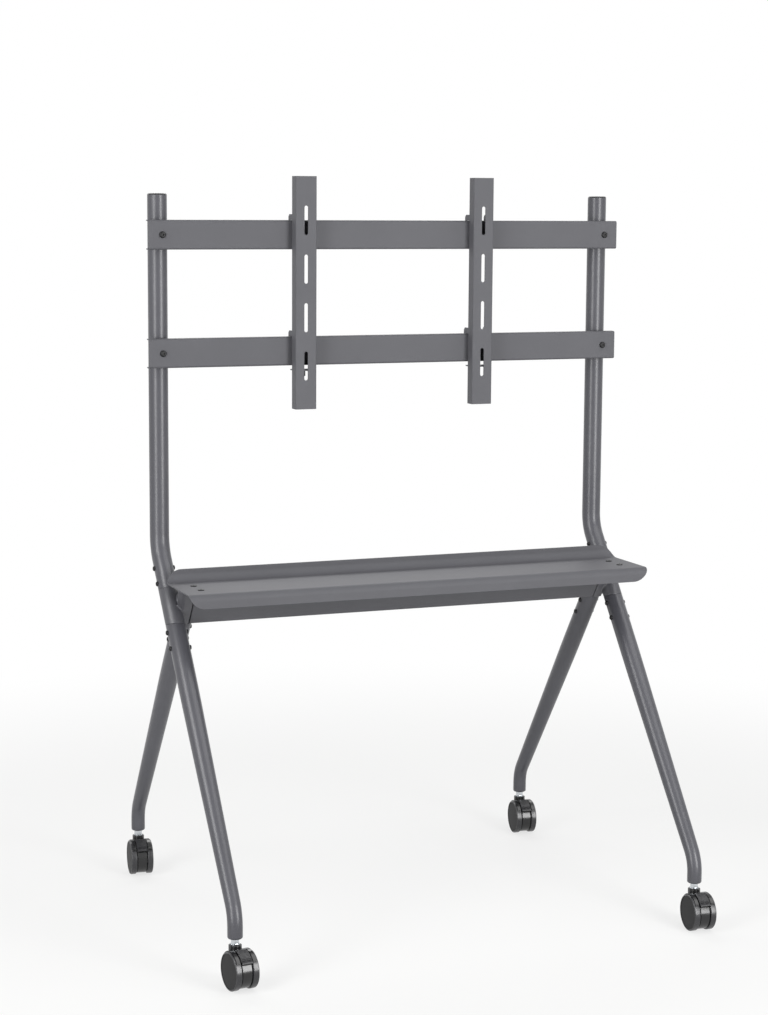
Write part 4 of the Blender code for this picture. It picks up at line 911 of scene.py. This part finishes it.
def collar():
    # The fluted seat of the stem, cut back where the wheels turn.
    outline = []
    steps = housing["fluteSteps"]
    for i in range(housing["flutes"] * 2):
        radius = housing["collarRadius"] - (0.0 if i % 2 else housing["fluteDepth"])
        for step in range(-steps, steps + 1):
            angle = (i + step * housing["fluteShare"] / 2 / steps) * 180 / housing["flutes"]
            outline.append((radius * cos(angle), radius * sin(angle)))
    wells = []
    for side, _ in sides:
        start, end = (axlePlace + Vector((side * x, 0, 0))
                      for x in (housing["drumHalf"] + wheel["gap"] / 2, housing["hoodHalf"]))
        wells.append(("DIFFERENCE", pin(start, end, coreRadius, wheel["steps"])))
    bm = combined(prism(outline, "Z", housing["collarBottom"], housing["collarTop"]), wells)
    easedSharp(bm, housing["collarBevel"], 60.0, 3,
               lambda edge: min(vert.co.z for vert in edge.verts) > housing["collarTop"] - small)
    return bm


def housingPattern():
    bm = drum()
    added(bm, hood())
    added(bm, collar())
    return asMesh(bm, "housing")


pedal = {
    "clearance": 0.0022, "front": 32.0, "rear": 88.0, "thickness": 0.0014, "bevel": 0.00035,
    # sections as shares of height and of length along the arc
    "lip": ((0.60, 0.0), (0.85, 0.2), (0.97, 0.4), (1.0, 0.55), (0.85, 0.68), (0.0, 1.0)),
    "lipHeight": 0.0019, "lipSpan": 8.5,
    "rib": ((0.0, 0.15), (0.8, 0.35), (1.0, 0.5), (0.8, 0.65), (0.0, 0.85)),
    "ribHeight": 0.0007, "ribs": 9, "ribsEnd": 86.0,
    # a section as shares of the half widths and of the height
    "oval": ((0.0, 0.2), (0.60, 0.2), (0.70, 0.9), (0.85, 1.0), (1.0, 0.3), (1.0, -0.4), (0.0, -0.4)),
    "ovalHalf": (0.0045, 0.0025), "ovalHeight": 0.0010, "ovalSpan": 9.0, "ovalSides": 32,
    "pivotAngle": 85.0, "pivotRadius": 0.0373,
    "barrelRadius": 0.0018, "barrelHalf": 0.010, "barrelSides": 24,
}


def pedalPattern():
    inner = coreRadius + gap
    outer = inner + pedal["thickness"]
    front, rear = pedal["front"], pedal["rear"]
    half = housing["slotHalf"] - pedal["clearance"]
    outline = [aboutAxle(outer + pedal["lipHeight"] * share, front + pedal["lipSpan"] * along)
               for share, along in pedal["lip"]]
    lipEnd = front + pedal["lipSpan"]
    ribFrom = lipEnd + pedal["ovalSpan"]  # a plain field between the lip and the ribs carries two ovals
    pitch = (pedal["ribsEnd"] - ribFrom) / pedal["ribs"]
    outline += [aboutAxle(outer + pedal["ribHeight"] * share, ribFrom + pitch * (i + along))
                for i in range(pedal["ribs"]) for share, along in pedal["rib"]]
    outline += [aboutAxle(outer, rear), *arcAbout(inner, rear, front)]
    bm = easedPrism(outline, "X", -half, half, pedal["bevel"], 50.0)
    angle = lipEnd + pedal["ovalSpan"] / 2
    size = Matrix.Diagonal((*pedal["ovalHalf"], pedal["ovalHeight"], 1.0))
    for x in (-half / 2, half / 2):
        place = Matrix.Translation((x, *aboutAxle(outer, angle))) @ turnMatrix(90 - angle, "X")
        added(bm, turned(pedal["oval"], pedal["ovalSides"], place @ size))
    pivot = aboutAxle(pedal["pivotRadius"], pedal["pivotAngle"])
    added(bm, pin(Vector((-pedal["barrelHalf"], *pivot)), Vector((pedal["barrelHalf"], *pivot)),
                  pedal["barrelRadius"], pedal["barrelSides"]))
    return asMesh(bm, "pedal")


stem = {
    "radius": 0.005, "bottom": 0.046, "length": 0.024, "sides": 24,
    "turns": 22, "threadStart": 0.0008, "threadDepth": 0.0005, "threadFlank": 0.0006,
    "hexRadius": 0.0086, "washer": 0.002, "nutSides": 48,
    # how far below the nut's top or above its foot, and shares of the hexagon's radius
    "nutTop": ((0.0, 0.0), (0.0, 0.89), (0.0016, 1.02)),
    "nutFoot": ((0.0012, 1.02), (0.0, 0.90), (0.0, 0.0)), "washerRim": ((0.0, 1.04), (0.0003, 1.1)),
}


def stemPattern():
    low = housing["collarTop"] + gap
    high = stand["footEndZ"] - gap
    seat = low + stem["washer"]
    r = stem["hexRadius"]
    hexagon = prism([(r * cos(a), r * sin(a)) for a in range(0, 360, 60)], "Z", seat, high)
    profile = [(r * share, high - drop) for drop, share in stem["nutTop"]]
    profile += [(r * share, seat + rise) for rise, share in stem["nutFoot"]]
    bm = combined(hexagon, [("INTERSECT", turned(profile, stem["nutSides"]))])
    rim = stem["washerRim"]
    profile = [(0.0, seat), *((r * share, seat - drop) for drop, share in rim),
               *((r * share, low + rise) for rise, share in reversed(rim)), (0.0, low)]
    added(bm, turned(profile, stem["nutSides"]))
    top = stand["footEndZ"] + stem["length"]
    profile = [(0.0, stem["bottom"]), (stem["radius"], stem["bottom"])]
    for i in range(stem["turns"]):  # thread crests as rings
        z = high - stem["threadStart"] + (top - high) * i / stem["turns"]
        profile += [(stem["radius"], z), (stem["radius"] - stem["threadDepth"], z + stem["threadFlank"])]
    profile += [(stem["radius"], top), (0.0, top)]
    added(bm, turned(profile, stem["sides"]))
    return asMesh(bm, "stem")


axle = {"radius": 0.004, "half": 0.0213, "sides": 32}


def axlePattern():
    end = Vector((axle["half"], 0, 0))
    return asMesh(pin(-end, end, axle["radius"], axle["sides"]), "axle", weld=True)


def makeCasters():
    wheels, body, brake, screw, bar = (make() for make in (wheelPattern, housingPattern, pedalPattern,
                                                           stemPattern, axlePattern))
    outward = Matrix.Translation((housing["drumHalf"] + wheel["gap"], 0, 0))
    for place, turn in caster["turns"].items():
        point = frontPoint if place.startswith("front") else rearPoint
        foot = point(-1 if place.endswith("left") else 1, stand["footCornerZ"])
        matrix = Matrix.Translation((foot.x, foot.y, 0)) @ turnMatrix(turn, "Z")
        centre = matrix @ Matrix.Translation(axlePlace)
        whole = f"caster_{place}"
        for name, pattern, where, rides, node, slotName, finish in (
                ("housing", body, matrix, whole, "body", "black_plastic", ["glossNylon"]),
                ("brakePedal", brake, matrix, whole + "_pedal", "pedal", "pedal_plastic", ["pedalNylon"]),
                ("stemAndNut", screw, matrix, "frame", "stem", "zinc_steel", ["zincPlate"]),
                ("axlePin", bar, centre, whole, "axle", "zinc_steel", ["zincPlate"])):
            placedCopy(f"{name}_{place}", pattern, where, rides, [f"{whole}_{node}"], slotName, finish, 32.0)
        for name, node, way in (("wheelLeft", "wheel_left", 180), ("wheelRight", "wheel_right", 0)):
            placedCopy(f"{name}_{place}", wheels, centre @ turnMatrix(way, "Z") @ outward, f"{whole}_{node}",
                       [f"{whole}_{node}"], "wheel_plastic", ["erodedNylon", "treadNylon"], 32.0)


makeCasters()
print("casters made")


# Floor, light and camera

studio = {
    "floorSize": 16.0, "floorColour": "#d8d8d6", "floorRoughness": 0.9, "floorSpecular": 0.2,
    "worldColour": "#eef1f4", "worldStrength": 0.15,
    "whiteShare": (0.70, 1.0), "fadeFrom": 1.0, "fadeTo": 2.6,  # the floor turns wholly white further out
    "lamps": (  # place, aim, width, height, power in watts
        ((1.05, -2.85, 1.20), (-0.2, -0.2, 0.55), 1.0, 2.1, 78.0),
        ((-2.85, -0.95, 2.45), (-0.3, -0.1, 0.50), 1.3, 1.7, 54.0),
        ((-2.75, -1.70, 0.95), (-0.3, 0.0, 0.80), 0.9, 1.7, 42.0),
        ((1.1, -1.0, 3.0), (0.0, -0.1, 0.2), 2.4, 2.2, 34.0),
        ((0.2, 2.5, 2.8), (0.0, 0.0, 0.80), 3.4, 1.2, 58.0),
    ),
}


def seenRays(tree):
    # 1 for the rays that should meet plain white: the camera's own, mirrored ones and those let through.
    rays = addNode(tree, "LightPath")
    found = rays.outputs["Is Camera Ray"]
    for kind in ("Is Glossy Ray", "Is Transmission Ray"):
        larger = addNode(tree, "Math", links={0: found, 1: rays.outputs[kind]}, operation="MAXIMUM")
        found = larger.outputs[0]
    return found


def makeFloor():
    bm = bmesh.new()
    bmesh.ops.create_grid(bm, x_segments=1, y_segments=1, size=studio["floorSize"] / 2)
    floor = asObject(asMesh(bm, "floor"))
    material = bpy.data.materials.new("paleFloor")
    material.use_nodes = True
    tree = material.node_tree
    shader = tree.nodes["Principled BSDF"]
    shader.inputs["Base Color"].default_value = linearColour(studio["floorColour"])
    shader.inputs["Roughness"].default_value = studio["floorRoughness"]
    shader.inputs["Specular IOR Level"].default_value = studio["floorSpecular"]
    glow = addNode(tree, "Emission", {"Color": (1, 1, 1, 1), "Strength": 1.0})
    place = addNode(tree, "TexCoord").outputs["Object"]
    distance = addNode(tree, "VectorMath", links={0: place}, operation="LENGTH")
    near, far = studio["whiteShare"]
    reach = {"From Min": studio["fadeFrom"], "From Max": studio["fadeTo"], "To Min": near, "To Max": far}
    fade = addNode(tree, "MapRange", reach, {"Value": distance.outputs["Value"]},
                   interpolation_type="SMOOTHSTEP")
    share = addNode(tree, "Math", links={0: seenRays(tree), 1: fade.outputs["Result"]},
                    operation="MULTIPLY")
    mixed = addNode(tree, "MixShader", links={"Fac": share.outputs[0], 1: shader.outputs["BSDF"],
                                              2: glow.outputs["Emission"]})
    tree.links.new(mixed.outputs[0], tree.nodes["Material Output"].inputs["Surface"])
    floor.data.materials.append(material)


def makeRoom():
    world = bpy.data.worlds.new("paleRoom")
    world.use_nodes = True
    tree = world.node_tree
    room = tree.nodes["Background"]
    room.inputs["Color"].default_value = linearColour(studio["worldColour"])
    room.inputs["Strength"].default_value = studio["worldStrength"]
    white = addNode(tree, "Background", {"Color": (1, 1, 1, 1), "Strength": 1.0})
    mixed = addNode(tree, "MixShader", links={"Fac": seenRays(tree), 1: room.outputs[0],
                                              2: white.outputs[0]})
    tree.links.new(mixed.outputs[0], tree.nodes["World Output"].inputs["Surface"])
    bpy.context.scene.world = world


def makeLamps():
    for number, (place, aim, width, height, power) in enumerate(studio["lamps"]):
        lamp = bpy.data.lights.new(f"softbox_{number + 1}", "AREA")
        lamp.shape = "RECTANGLE"
        lamp.size = width
        lamp.size_y = height
        lamp.energy = power
        item = asObject(lamp)
        item.location = place
        item.rotation_euler = (Vector(aim) - Vector(place)).to_track_quat("-Z", "Y").to_euler()


view = {"place": (-1.7764, -4.2936, 1.4886), "heading": -21.87, "tilt": 7.79, "roll": 0.352,
        "lens": 79.256, "sensorHeight": 36.0, "shift": 0.00121}


def makeCamera():
    a, p = view["heading"], view["tilt"]
    forward = Vector((-sin(a) * cos(p), cos(a) * cos(p), -sin(p)))
    right = Vector((cos(a), sin(a), 0.0))
    up = right.cross(forward)
    rolledRight = right * cos(view["roll"]) + up * sin(view["roll"])
    rolledUp = up * cos(view["roll"]) - right * sin(view["roll"])
    camera = bpy.data.cameras.new("photoView")
    camera.sensor_fit = "VERTICAL"
    camera.sensor_height = view["sensorHeight"]
    camera.lens = view["lens"]
    camera.shift_x = view["shift"]
    item = asObject(camera)
    turn = Matrix((rolledRight, rolledUp, -forward)).transposed().to_4x4()
    item.matrix_world = Matrix.Translation(view["place"]) @ turn
    bpy.context.scene.camera = item


makeFloor()
makeRoom()
makeLamps()
makeCamera()
bpy.context.scene.view_settings.view_transform = "Standard"
print("studio set")
